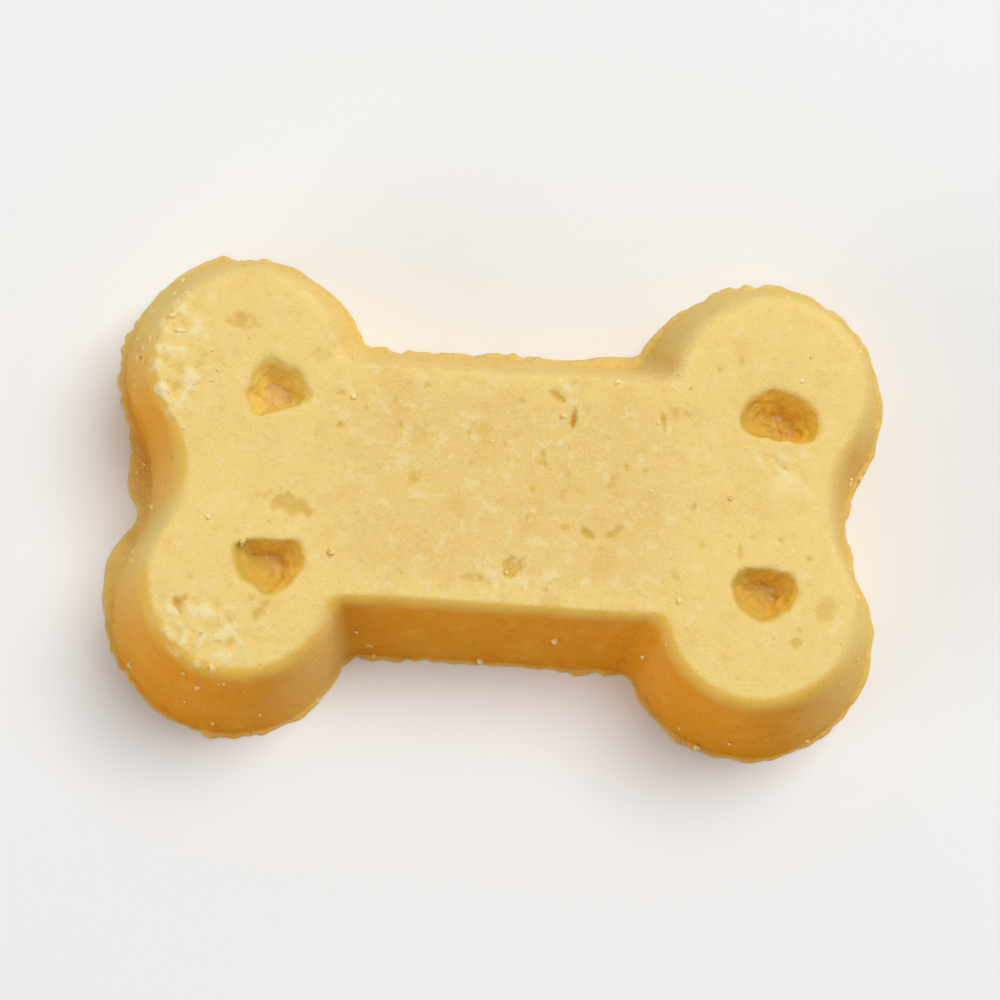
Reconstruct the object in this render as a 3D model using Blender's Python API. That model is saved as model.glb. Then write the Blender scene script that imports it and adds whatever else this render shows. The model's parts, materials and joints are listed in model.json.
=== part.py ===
"""Bone-shaped dog biscuit: one solid piece of moulded and baked dough.

The dough is pressed into a bone-shaped mould and scraped flat, so the moulded side is up:
four round end lobes on a short shaft, walls that lean out towards the underside, softly
rounded upper edges, and a D-shaped pin dent in each lobe. A thin ragged lip of dough
runs round the foot of the wall, where it squeezed out of the mould.

Frame: metres, +Z up, X along the bone, origin at the centre of the flat underside.
"""

import math
from dataclasses import dataclass

import bmesh
import bpy
from mathutils import Matrix, Vector, geometry, noise

# Driving dimensions of the whole biscuit.
THICKNESS = 0.0072
LOBE_SPACING_X = 0.0257
LOBE_RADIUS = 0.00588
WAIST_WIDTH = 0.0151

# The wall is a leaning flank with a rounded edge above it. The edge takes up this much height,
# and starts off with the flank's lean.
EDGE_HEIGHT = 0.0014
EDGE_LEAN = math.radians(13)
FLANK_STEPS = 4
EDGE_STEPS = 5

# The lip of dough at the foot of the wall, and how unevenly it sticks out.
LIP_HEIGHT = 0.00040
LIP_EDGE_HEIGHT = 0.00016
LIP_WIDTH = 0.00026
LIP_LEAST = 0.00006
LIP_UNDER_SHARE = 0.85
LIP_RAGGEDNESS = 0.00015
LIP_WAVE = 0.0020
LIP_FINE_SHARE = 0.6
LIP_FINENESS = 2.7
LIP_TONGUE_REACH = 0.0022

# The dents that the mould's pins leave. Each is a tapered D with its flat to the long axis.
DENT_DEPTH = 0.0017
DENT_TAPER = 0.36
DENT_SIDES = 28

# Relief of the top face: lobes stand a little proud, the shaft sinks a little.
LOBE_CROWN = 0.00016
CROWN_STEEPNESS = 1.6
SHAFT_SAG = 0.00012
DOUGH_WAVE = 0.0046
DOUGH_RELIEF = 0.00009
RELIEF_FADE = 4

# How finely the outline and the top face are divided.
LOBE_STEPS = 30
SHOULDER_STEPS = 5
NOTCH_STEPS = 8
SHAFT_STEPS = 16
TOP_SPACING = 0.00085
TOP_MARGIN = 0.7 * TOP_SPACING

DOUGH_COLOUR = (0.80, 0.53, 0.17, 1.0)
DOUGH_ROUGHNESS = 0.72
SMOOTH_ANGLE = math.radians(40)


@dataclass(frozen=True)
class Section:
    """The bone outline at one level of the wall, symmetric before the lobes' unevenness."""

    lobe_x: float
    lobe_y: float
    lobe_radius: float
    waist: float
    shoulder_radius: float
    notch_radius: float
    splay: float

    def towards(self, other, share):
        """The section that lies share of the way from this one to the other."""
        mine, theirs = vars(self), vars(other)
        return Section(**{key: mine[key] + share * (theirs[key] - mine[key]) for key in mine})


@dataclass(frozen=True)
class Lobe:
    """One end lobe: its end, its side, and how far it differs outwards from the even shape.

    The splays are how much further out its foot stands than its top, along and across the bone.
    """

    end: int
    side: int
    out_x: float
    out_y: float
    splay_x: float
    splay_y: float
    swell: float

    def centre(self, section):
        x = section.lobe_x + self.out_x + self.splay_x * section.splay
        y = section.lobe_y + self.out_y + self.splay_y * section.splay
        return Vector((self.end * x, self.side * y))

    def radius(self, section):
        return section.lobe_radius + self.swell


@dataclass(frozen=True)
class Dent:
    """One pin dent: its centre, the radius and flat of its mouth, how wide it is, and its turn."""

    x: float
    y: float
    radius: float
    flat: float
    stretch: float
    turn: float


# The wall's foot, the top of its flank, and the line where the rounded edge runs out into the top.
FOOT = Section(
    lobe_x=LOBE_SPACING_X / 2,
    lobe_y=0.00580,
    lobe_radius=LOBE_RADIUS,
    waist=WAIST_WIDTH / 2,
    shoulder_radius=0.0013,
    notch_radius=0.0060,
    splay=1.0,
)
FLANK_TOP = Section(
    lobe_x=LOBE_SPACING_X / 2,
    lobe_y=0.00550,
    lobe_radius=LOBE_RADIUS - 0.00098,
    waist=WAIST_WIDTH / 2 - 0.00140,
    shoulder_radius=0.0011,
    notch_radius=0.0056,
    splay=0.3,
)
CROWN = Section(
    lobe_x=LOBE_SPACING_X / 2,
    lobe_y=0.00532,
    lobe_radius=LOBE_RADIUS - 0.00170,
    waist=WAIST_WIDTH / 2 - 0.00200,
    shoulder_radius=0.0010,
    notch_radius=0.0050,
    splay=0.0,
)

# Round the biscuit anticlockwise, seen from above, starting at the right end's rear lobe.
LOBES = (
    Lobe(1, 1, out_x=0.00005, out_y=0.00030, splay_x=0.0, splay_y=-0.00010, swell=0.00005),
    Lobe(-1, 1, out_x=0.00038, out_y=0.00010, splay_x=-0.00050, splay_y=-0.00005, swell=0.0),
    Lobe(-1, -1, out_x=0.00018, out_y=0.0, splay_x=-0.00020, splay_y=0.00018, swell=0.0),
    Lobe(1, -1, out_x=0.0, out_y=-0.00015, splay_x=0.00005, splay_y=-0.00010, swell=0.00010),
)

# In the same order as the lobes. The flats face the bone's long axis.
DENTS = (
    Dent(x=0.01338, y=0.00405, radius=0.00162, flat=0.00072, stretch=1.13, turn=math.radians(-5)),
    Dent(x=-0.01150, y=0.00404, radius=0.00148, flat=0.00080, stretch=1.03, turn=math.radians(18)),
    Dent(x=-0.01149, y=-0.00410, radius=0.00156, flat=0.00085, stretch=1.09, turn=math.radians(184)),
    Dent(x=0.01305, y=-0.00414, radius=0.00148, flat=0.00090, stretch=1.03, turn=math.radians(177)),
)

# Where the lip spreads into a tongue, and by how much: by the left front lobe, in the left notch
# and beside the right rear lobe.
LIP_TONGUES = (
    (Vector((-0.0186, -0.0034)), 0.00055),
    (Vector((-0.0169, 0.0008)), 0.00085),
    (Vector((0.0060, 0.0077)), 0.00032),
)


def clear_scene():
    for obj in list(bpy.data.objects):
        bpy.data.objects.remove(obj, do_unlink=True)


def new_collection(name):
    collection = bpy.data.collections.new(name)
    bpy.context.scene.collection.children.link(collection)
    return collection


def dough_material():
    material = bpy.data.materials.new("baked_dough")
    material.use_nodes = True
    shader = material.node_tree.nodes["Principled BSDF"]
    shader.inputs["Base Color"].default_value = DOUGH_COLOUR
    shader.inputs["Roughness"].default_value = DOUGH_ROUGHNESS
    shader.inputs["Metallic"].default_value = 0.0
    return material


def arc(centre, radius, start, end, steps, turn):
    """Points on a circle between two directions; turn is 1 anticlockwise and -1 clockwise."""
    first = math.atan2(start.y, start.x)
    sweep = (math.atan2(end.y, end.x) - first) * turn % (2 * math.pi)
    angles = [first + turn * sweep * step / steps for step in range(steps + 1)]
    return [centre + radius * Vector((math.cos(a), math.sin(a))) for a in angles]


def straight(start, end, steps):
    """Points strictly between the ends of a straight run."""
    return [start.lerp(end, step / steps) for step in range(1, steps)]


def shoulder_centre(lobe, section):
    """Centre of the fillet that joins a lobe to the side of the shaft."""
    centre, reach = lobe.centre(section), lobe.radius(section) + section.shoulder_radius
    y = lobe.side * (section.waist + section.shoulder_radius)
    return Vector((centre.x - lobe.end * math.sqrt(reach**2 - (y - centre.y) ** 2), y))


def notch_centre(one, other, section):
    """Centre of the fillet between the two lobes of one end, outside the dough."""
    a, b = one.centre(section), other.centre(section)
    reach_a = one.radius(section) + section.notch_radius
    reach_b = other.radius(section) + section.notch_radius
    gap = (b - a).length
    along = (gap**2 + reach_a**2 - reach_b**2) / (2 * gap)
    outward = Vector((one.end, 0)) - Vector((one.end, 0)).project(b - a)
    return a + (b - a) * (along / gap) + outward.normalized() * math.sqrt(reach_a**2 - along**2)


def outline(section):
    """The closed bone outline, anticlockwise, with the same number of points at every level."""
    rear_right, rear_left, front_left, front_right = LOBES
    left_notch = notch_centre(rear_left, front_left, section)
    right_notch = notch_centre(front_right, rear_right, section)
    shoulders = [shoulder_centre(lobe, section) for lobe in LOBES]
    points = []

    def add_lobe(lobe, before, after):
        centre = lobe.centre(section)
        points.extend(arc(centre, lobe.radius(section), before - centre, after - centre, LOBE_STEPS, 1))

    def add_side(first, last):
        """The fillet after lobe first, the side of the shaft and the fillet before lobe last."""
        inward = Vector((0, -LOBES[first].side))
        radius = section.shoulder_radius
        leaving = LOBES[first].centre(section) - shoulders[first]
        meeting = LOBES[last].centre(section) - shoulders[last]
        one = arc(shoulders[first], radius, leaving, inward, SHOULDER_STEPS, -1)[1:]
        other = arc(shoulders[last], radius, inward, meeting, SHOULDER_STEPS, -1)[:-1]
        points.extend(one + straight(one[-1], other[0], SHAFT_STEPS) + other)

    def add_notch(centre, before, after):
        leaving, meeting = before.centre(section) - centre, after.centre(section) - centre
        points.extend(arc(centre, section.notch_radius, leaving, meeting, NOTCH_STEPS, -1)[1:-1])

    add_lobe(rear_right, right_notch, shoulders[0])
    add_side(0, 1)
    add_lobe(rear_left, shoulders[1], left_notch)
    add_notch(left_notch, rear_left, front_left)
    add_lobe(front_left, left_notch, shoulders[2])
    add_side(2, 3)
    add_lobe(front_right, shoulders[3], right_notch)
    add_notch(right_notch, front_right, rear_right)
    return points


def outward_normals(points):
    """Unit normals of a closed anticlockwise outline."""
    normals = []
    for index, point in enumerate(points):
        along = points[(index + 1) % len(points)] - points[index - 1]
        normals.append(Vector((along.y, -along.x)).normalized())
    return normals


def dough_relief(x, y, z):
    """Low, broad unevenness of baked dough."""
    return DOUGH_RELIEF * noise.noise(Vector((x, y, z)) / DOUGH_WAVE)


def lip_width(point):
    """How far the lip sticks out at a point of the outline."""
    place = Vector((point.x, point.y, 0.0)) / LIP_WAVE
    ragged = noise.noise(place) + LIP_FINE_SHARE * noise.noise(place * LIP_FINENESS)
    tongue = max(
        size * math.exp(-(((point - at).length / LIP_TONGUE_REACH) ** 2)) for at, size in LIP_TONGUES
    )
    return max(LIP_LEAST, LIP_WIDTH + LIP_RAGGEDNESS * ragged + tongue)


def wall_sections():
    """(height, section) of each ring above the lip, from the wall's foot to the crown."""
    flank_top = THICKNESS - EDGE_HEIGHT
    levels = []
    for step in range(FLANK_STEPS):
        rise = step / FLANK_STEPS
        levels.append((LIP_HEIGHT + rise * (flank_top - LIP_HEIGHT), FOOT.towards(FLANK_TOP, rise)))
    for step in range(EDGE_STEPS + 1):
        angle = EDGE_LEAN + step / EDGE_STEPS * (math.pi / 2 - EDGE_LEAN)
        inward = (math.cos(EDGE_LEAN) - math.cos(angle)) / math.cos(EDGE_LEAN)
        rise = (math.sin(angle) - math.sin(EDGE_LEAN)) / (1 - math.sin(EDGE_LEAN))
        levels.append((flank_top + EDGE_HEIGHT * rise, FLANK_TOP.towards(CROWN, inward)))
    return levels


def top_height(point):
    """Height of the top face, which meets the rounded edge at THICKNESS."""
    within = [
        max(0.0, 1.0 - (point - lobe.centre(CROWN)).length / lobe.radius(CROWN)) for lobe in LOBES
    ]
    rise = LOBE_CROWN * math.sin(min(1.0, CROWN_STEEPNESS * max(within)) * math.pi / 2)
    along = max(0.0, 1.0 - abs(point.x) / (CROWN.lobe_x - CROWN.lobe_radius))
    across = max(0.0, 1.0 - abs(point.y) / CROWN.waist)
    sag = SHAFT_SAG * math.sin(along * math.pi / 2) * math.sin(across * math.pi / 2)
    return THICKNESS + rise - sag


def inside_crown(point, margin):
    """True if a point of the top face is at least margin inside the crown line."""
    in_lobe = any((point - lobe.centre(CROWN)).length < lobe.radius(CROWN) - margin for lobe in LOBES)
    return in_lobe or (abs(point.x) < CROWN.lobe_x and abs(point.y) < CROWN.waist - margin)


def top_grid():
    """Points of a triangular grid inside the crown line."""
    row_gap = TOP_SPACING * math.sqrt(3) / 2
    half_x, half_y = CROWN.lobe_x + LOBE_RADIUS, CROWN.lobe_y + LOBE_RADIUS
    rows, columns = int(half_y / row_gap) + 1, int(half_x / TOP_SPACING) + 1
    grid = []
    for row in range(-rows, rows + 1):
        stagger = (row % 2) / 2
        for column in range(-columns, columns + 1):
            point = Vector(((column + stagger) * TOP_SPACING, row * row_gap))
            if inside_crown(point, TOP_MARGIN):
                grid.append(point)
    return grid


def add_ring(mesh, points, heights):
    return [mesh.verts.new((point.x, point.y, height)) for point, height in zip(points, heights)]


def wall_ring(mesh, height, section):
    """A ring of the wall, moved by the dough's unevenness, which lifts it only near the top."""
    points = outline(section)
    normals = outward_normals(points)
    moved = [p + n * dough_relief(p.x, p.y, height) for p, n in zip(points, normals)]
    lift = (height / THICKNESS) ** RELIEF_FADE
    heights = [height + lift * dough_relief(p.x, p.y, THICKNESS) for p in points]
    return add_ring(mesh, moved, heights)


def lip_rings(mesh):
    """The two outer rings of the lip: on the underside, and its thin ragged edge."""
    foot = outline(FOOT)
    widths = [lip_width(point) for point in foot]
    normals = outward_normals(foot)
    under = [p + n * w * LIP_UNDER_SHARE for p, n, w in zip(foot, normals, widths)]
    edge = [p + n * w for p, n, w in zip(foot, normals, widths)]
    count = len(foot)
    return [add_ring(mesh, under, [0.0] * count), add_ring(mesh, edge, [LIP_EDGE_HEIGHT] * count)]


def add_top(mesh, ring):
    """Fills the last ring with triangles over a grid, and lifts the grid to the top face."""
    border = [vert.co.xy for vert in ring]
    grid = top_grid()
    edges = [(index, (index + 1) % len(border)) for index in range(len(border))]
    millimetres = [point * 1000 for point in border + grid]
    placed, _, triangles, sources, _, _ = geometry.delaunay_2d_cdt(millimetres, edges, [], 1, 1e-6)
    verts = []
    for point, source in zip(placed, sources):
        if source and source[0] < len(ring):
            verts.append(ring[source[0]])
        else:
            place = point / 1000
            height = top_height(place) + dough_relief(place.x, place.y, THICKNESS)
            verts.append(mesh.verts.new((place.x, place.y, height)))
    for triangle in triangles:
        mesh.faces.new([verts[index] for index in triangle])


def dough_body(collection):
    """The moulded bone without its dents, lofted from the underside to the crown and capped."""
    mesh = bmesh.new()
    rings = lip_rings(mesh) + [wall_ring(mesh, *level) for level in wall_sections()]
    for lower, upper in zip(rings, rings[1:]):
        for index in range(len(lower)):
            after = (index + 1) % len(lower)
            mesh.faces.new((lower[index], lower[after], upper[after], upper[index]))
    mesh.faces.new(list(reversed(rings[0])))
    add_top(mesh, rings[-1])
    bmesh.ops.recalc_face_normals(mesh, faces=mesh.faces)
    data = bpy.data.meshes.new("dog_biscuit")
    mesh.to_mesh(data)
    mesh.free()
    body = bpy.data.objects.new("dog_biscuit", data)
    collection.objects.link(body)
    return body


def pin(collection, dent):
    """One tapered D-shaped pin of the mould, reaching from the dent's floor to well above the top."""
    above = THICKNESS / 4
    mesh = bmesh.new()
    bmesh.ops.create_cone(
        mesh,
        cap_ends=True,
        segments=DENT_SIDES,
        radius1=dent.radius - DENT_TAPER * DENT_DEPTH,
        radius2=dent.radius + DENT_TAPER * above,
        depth=DENT_DEPTH + above,
        matrix=Matrix.Translation((0, 0, (above - DENT_DEPTH) / 2)),
    )
    lean = Vector((0, -1, -DENT_TAPER)).normalized()
    cut = bmesh.ops.bisect_plane(
        mesh,
        geom=mesh.verts[:] + mesh.edges[:] + mesh.faces[:],
        plane_co=(0, -dent.flat, 0),
        plane_no=lean,
        clear_outer=True,
    )
    rim = [item for item in cut["geom_cut"] if isinstance(item, bmesh.types.BMEdge)]
    bmesh.ops.contextual_create(mesh, geom=rim)
    bmesh.ops.recalc_face_normals(mesh, faces=mesh.faces)
    data = bpy.data.meshes.new("pin")
    mesh.to_mesh(data)
    mesh.free()
    cutter = bpy.data.objects.new("pin", data)
    cutter.location = (dent.x, dent.y, THICKNESS)
    cutter.rotation_euler.z = dent.turn
    cutter.scale.x = dent.stretch
    cutter.hide_render = True
    cutter.display_type = "WIRE"
    collection.objects.link(cutter)
    return cutter


def press_dents(body, pins):
    for cutter in pins:
        dent = body.modifiers.new(cutter.name, "BOOLEAN")
        dent.operation = "DIFFERENCE"
        dent.solver = "EXACT"
        dent.object = cutter


def centre_on_underside(body):
    """Moves the mesh so that its box is centred over the origin, and returns the shift."""
    xs = [vert.co.x for vert in body.data.vertices]
    ys = [vert.co.y for vert in body.data.vertices]
    shift = Vector((-(min(xs) + max(xs)) / 2, -(min(ys) + max(ys)) / 2, 0.0))
    body.data.transform(Matrix.Translation(shift))
    return shift


def main():
    clear_scene()
    biscuit = new_collection("dog_biscuit")
    cutters = new_collection("mould_pins")
    body = dough_body(biscuit)
    pins = [pin(cutters, dent) for dent in DENTS]
    shift = centre_on_underside(body)
    for cutter in pins:
        cutter.location += shift
    press_dents(body, pins)
    body.data.shade_smooth()
    body.data.set_sharp_from_angle(angle=SMOOTH_ANGLE)
    body.data.materials.append(dough_material())


main()
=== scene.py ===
"""Looks of a moulded, bone-shaped dog biscuit in pale baked dough.

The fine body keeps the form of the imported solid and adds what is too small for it: soft-mouthed
pin dents, pores, scars and scratches, crumbly patches, the ragged edge of the lip and the crumbs
that cling to it. All lengths are in metres; MM turns a size in millimetres into metres.
"""

from __future__ import annotations

import json
import logging
import math
import random
from dataclasses import dataclass, field
from enum import Enum
from typing import Any, Callable, Iterable, Optional, Sequence, Union

import bmesh
import bpy
import numpy as np
from mathutils import Matrix, Vector, geometry, noise

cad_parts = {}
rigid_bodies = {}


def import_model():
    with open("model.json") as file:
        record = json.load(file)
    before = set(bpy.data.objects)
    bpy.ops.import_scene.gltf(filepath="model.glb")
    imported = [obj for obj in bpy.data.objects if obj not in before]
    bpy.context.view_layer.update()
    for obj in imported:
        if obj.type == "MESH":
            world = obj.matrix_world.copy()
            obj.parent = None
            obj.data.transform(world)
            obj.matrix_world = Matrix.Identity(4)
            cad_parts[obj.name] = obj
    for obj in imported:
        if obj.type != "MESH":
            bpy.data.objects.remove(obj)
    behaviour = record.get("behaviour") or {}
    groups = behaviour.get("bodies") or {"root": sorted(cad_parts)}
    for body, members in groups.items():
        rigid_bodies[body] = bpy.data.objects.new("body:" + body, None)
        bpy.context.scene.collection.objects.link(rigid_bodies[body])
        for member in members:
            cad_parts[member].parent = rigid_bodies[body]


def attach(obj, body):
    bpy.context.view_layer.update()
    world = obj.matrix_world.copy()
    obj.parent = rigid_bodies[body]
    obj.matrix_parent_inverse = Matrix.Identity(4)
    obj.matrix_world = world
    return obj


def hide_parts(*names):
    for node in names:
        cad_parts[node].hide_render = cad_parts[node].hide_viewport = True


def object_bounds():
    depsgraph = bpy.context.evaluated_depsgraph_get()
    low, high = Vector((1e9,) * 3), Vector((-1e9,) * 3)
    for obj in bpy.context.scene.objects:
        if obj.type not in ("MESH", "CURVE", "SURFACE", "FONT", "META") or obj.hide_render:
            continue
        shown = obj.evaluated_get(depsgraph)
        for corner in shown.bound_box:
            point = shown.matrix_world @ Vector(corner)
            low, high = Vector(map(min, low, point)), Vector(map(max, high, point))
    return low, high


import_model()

LOG = logging.getLogger("dog_biscuit")
MM = 0.001
NODE = "dog_biscuit"
BODY = "root"
CAD_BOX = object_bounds()

Colour = tuple[float, float, float]


class Skin(Enum):
    """Point fields of the fine body, which its finish reads."""

    FLANK = "flank"
    # Darker tone of each dent, and on the walls painted side shade: deeper in front and on the left,
    # paler at the rear and on the right.
    BROWN = "browned"
    DENT = "dent"
    LIP = "lip"
    UNDER = "underside"
    LOBE = "lobe"
    RIM = "rim"
    # Stains of the marks, and on one side of each dent's wall painted shade.
    STAIN = "stain"
    AMBER = "amber"
    PALE = "pale"
    # Painted shade in the gaps between the lumps of the crumbly patches.
    GAP = "gap"


@dataclass(frozen=True)
class Section:
    """The bone outline at one level of the wall, before the lobes' unevenness."""

    lobe_x: float
    lobe_y: float
    lobe_radius: float
    waist: float
    shoulder_radius: float
    notch_radius: float
    splay: float

    def towards(self, other: Section, share: float) -> Section:
        """The section that lies share of the way from this one to the other."""
        mine, theirs = vars(self), vars(other)
        return Section(**{key: mine[key] + share * (theirs[key] - mine[key]) for key in mine})


@dataclass(frozen=True)
class Lobe:
    """One end lobe: its end, its side, and how far it differs outwards from the even shape.

    The splays are how much further out its foot stands than its top, along and across the bone.
    """

    end: int
    side: int
    out_x: float
    out_y: float
    splay_x: float
    splay_y: float
    swell: float

    def centre(self, section: Section) -> Vector:
        """Finds the centre of the lobe in a section.

        Args:
            section: The level of the wall.

        Returns:
            The centre in plan.
        """
        x = section.lobe_x + self.out_x + self.splay_x * section.splay
        y = section.lobe_y + self.out_y + self.splay_y * section.splay
        return Vector((self.end * x, self.side * y))

    def radius(self, section: Section) -> float:
        """Radius of the lobe in a section."""
        return section.lobe_radius + self.swell


def arc(centre: Vector, radius: float, start: Vector, end: Vector, steps: int, turn: int) -> list[Vector]:
    """Points on a circle.

    Args:
        centre: Centre of the circle.
        radius: Its radius.
        start: Direction of the first point from the centre.
        end: Direction of the last point.
        steps: Number of steps between them.
        turn: 1 for anticlockwise, -1 for clockwise.

    Returns:
        The points, both ends included.
    """
    first = math.atan2(start.y, start.x)
    sweep = (math.atan2(end.y, end.x) - first) * turn % (2 * math.pi)
    angles = [first + turn * sweep * step / steps for step in range(steps + 1)]
    return [centre + radius * Vector((math.cos(angle), math.sin(angle))) for angle in angles]


def smooth(low: float, high: float, value: float) -> float:
    """Eased step from 0 at low to 1 at high."""
    share = min(1.0, max(0.0, (value - low) / (high - low)))
    return share * share * (3 - 2 * share)


def outward_normals(points: Sequence[Vector]) -> list[Vector]:
    """Finds the normals of a closed anticlockwise outline.

    Args:
        points: The outline.

    Returns:
        The outward unit normal at each point.
    """
    normals = []
    for index, point in enumerate(points):
        along = points[(index + 1) % len(points)] - points[index - 1]
        normals.append(Vector((along.y, -along.x)).normalized())
    return normals


@dataclass(frozen=True)
class BoneOutline:
    """Traces the closed bone outline, anticlockwise from the right end's rear lobe."""

    lobes: tuple[Lobe, ...]
    lobe_steps: int = 132
    shoulder_steps: int = 16
    notch_steps: int = 32
    shaft_steps: int = 84

    def shoulder_centre(self, lobe: Lobe, section: Section) -> Vector:
        """Finds the fillet that joins a lobe to the side of the shaft.

        Args:
            lobe: The lobe.
            section: The level of the wall.

        Returns:
            The fillet's centre in plan.
        """
        centre, reach = lobe.centre(section), lobe.radius(section) + section.shoulder_radius
        y = lobe.side * (section.waist + section.shoulder_radius)
        return Vector((centre.x - lobe.end * math.sqrt(reach**2 - (y - centre.y) ** 2), y))

    def notch_centre(self, one: Lobe, other: Lobe, section: Section) -> Vector:
        """Finds the fillet between the two lobes of one end.

        Args:
            one: The first lobe.
            other: The other lobe of the same end.
            section: The level of the wall.

        Returns:
            The fillet's centre in plan, which lies outside the dough.
        """
        a, b = one.centre(section), other.centre(section)
        reach_a = one.radius(section) + section.notch_radius
        reach_b = other.radius(section) + section.notch_radius
        gap = (b - a).length
        along = (gap**2 + reach_a**2 - reach_b**2) / (2 * gap)
        outward = Vector((one.end, 0)) - Vector((one.end, 0)).project(b - a)
        rise = math.sqrt(reach_a**2 - along**2)
        return a + (b - a) * (along / gap) + outward.normalized() * rise

    def lobe_arc(self, lobe: Lobe, section: Section, before: Vector, after: Vector) -> list[Vector]:
        """The round of one lobe between the fillets centred at before and after."""
        centre = lobe.centre(section)
        return arc(centre, lobe.radius(section), before - centre, after - centre, self.lobe_steps, 1)

    def side_run(self, first: Lobe, last: Lobe, section: Section) -> list[Vector]:
        """Traces one side of the shaft with the fillets at its ends.

        Args:
            first: The lobe that it starts from.
            last: The lobe that it leads to.
            section: The level of the wall.

        Returns:
            The points, without those that the lobes share with it.
        """
        inward, radius = Vector((0, -first.side)), section.shoulder_radius
        near, far = self.shoulder_centre(first, section), self.shoulder_centre(last, section)
        one = arc(near, radius, first.centre(section) - near, inward, self.shoulder_steps, -1)[1:]
        other = arc(far, radius, inward, last.centre(section) - far, self.shoulder_steps, -1)[:-1]
        steps = range(1, self.shaft_steps)
        return one + [one[-1].lerp(other[0], step / self.shaft_steps) for step in steps] + other

    def notch_run(self, first: Lobe, last: Lobe, section: Section) -> list[Vector]:
        """Traces the fillet between the two lobes of one end.

        Args:
            first: The lobe that it starts from.
            last: The lobe that it leads to.
            section: The level of the wall.

        Returns:
            The points, without those that the lobes share with it.
        """
        centre = self.notch_centre(first, last, section)
        leaving, meeting = first.centre(section) - centre, last.centre(section) - centre
        return arc(centre, section.notch_radius, leaving, meeting, self.notch_steps, -1)[1:-1]

    def trace(self, section: Section) -> list[Vector]:
        """Traces the outline of a section.

        Args:
            section: The level of the wall.

        Returns:
            The points, of which every section has the same number.
        """
        rear_right, rear_left, front_left, front_right = self.lobes
        left = self.notch_centre(rear_left, front_left, section)
        right = self.notch_centre(front_right, rear_right, section)
        bends = [self.shoulder_centre(lobe, section) for lobe in self.lobes]
        return (
            self.lobe_arc(rear_right, section, right, bends[0])
            + self.side_run(rear_right, rear_left, section)
            + self.lobe_arc(rear_left, section, bends[1], left)
            + self.notch_run(rear_left, front_left, section)
            + self.lobe_arc(front_left, section, left, bends[2])
            + self.side_run(front_left, front_right, section)
            + self.lobe_arc(front_right, section, bends[3], right)
            + self.notch_run(front_right, rear_right, section)
        )


@dataclass(frozen=True)
class DoughWaves:
    """Low, broad unevenness of the baked dough."""

    wave: float = 4.6 * MM
    relief: float = 0.09 * MM

    def at(self, x: float, y: float, z: float) -> float:
        """How far the surface stands out at a place."""
        return self.relief * noise.noise(Vector((x, y, z)) / self.wave)


@dataclass(frozen=True)
class Lip:
    """The thin ragged lip of dough at the foot of the wall."""

    height: float = 0.40 * MM
    width: float = 0.26 * MM
    least: float = 0.06 * MM
    raggedness: float = 0.15 * MM
    wave: float = 2.0 * MM
    tongue_reach: float = 2.2 * MM
    tongues: tuple[tuple[Vector, float], ...] = (
        (Vector((-18.6, -3.4)) * MM, 0.55 * MM),
        (Vector((-16.9, 0.8)) * MM, 0.85 * MM),
        (Vector((6.0, 7.7)) * MM, 0.32 * MM),
    )
    ripple_share: float = 0.6
    ripple_turns: float = 2.7
    thinning: float = 0.55
    thin_wave: float = 1.1 * MM
    thin_layer: float = 5.0 * MM
    thin_onset: tuple[float, float] = (-0.2, 0.4)
    fray: float = 0.20 * MM
    fray_wave: float = 0.42 * MM
    fray_layer: float = 7.0 * MM
    coarse_share: float = 0.8
    coarse_turns: float = 0.45
    patch_wave: float = 3.4 * MM
    patch_layer: float = 3.0 * MM
    patch_onset: tuple[float, float] = (-0.25, 0.35)
    profile: tuple[tuple[float, float], ...] = (
        (0.80, 0.0),
        (0.94, 0.12),
        (1.0, 0.34),
        (0.90, 0.58),
        (0.62, 0.72),
        (0.30, 0.86),
    )

    def thinning_at(self, point: Vector) -> float:
        """How much lower the lip is at a point of the wall's foot, as a factor."""
        uneven = noise.noise(Vector((point.x, point.y, self.thin_layer)) / self.thin_wave)
        return 1.0 - self.thinning * smooth(*self.thin_onset, uneven)

    def width_at(self, point: Vector) -> float:
        """Works out how far the lip sticks out.

        Args:
            point: A point of the wall's foot in plan.

        Returns:
            The lip's width there.
        """
        place = Vector((point.x, point.y, 0.0)) / self.wave
        ragged = noise.noise(place) + self.ripple_share * noise.noise(place * self.ripple_turns)
        spread = max(
            size * math.exp(-(((point - at).length / self.tongue_reach) ** 2))
            for at, size in self.tongues
        )
        fine = Vector((point.x, point.y, self.fray_layer)) / self.fray_wave
        patch = Vector((point.x, point.y, self.patch_layer)) / self.patch_wave
        frayed = smooth(*self.patch_onset, noise.noise(patch))
        threads = noise.noise(fine) + self.coarse_share * noise.noise(fine * self.coarse_turns)
        fray = self.fray * frayed * threads
        return max(self.least, self.width + self.raggedness * ragged + spread + fray)


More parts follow.
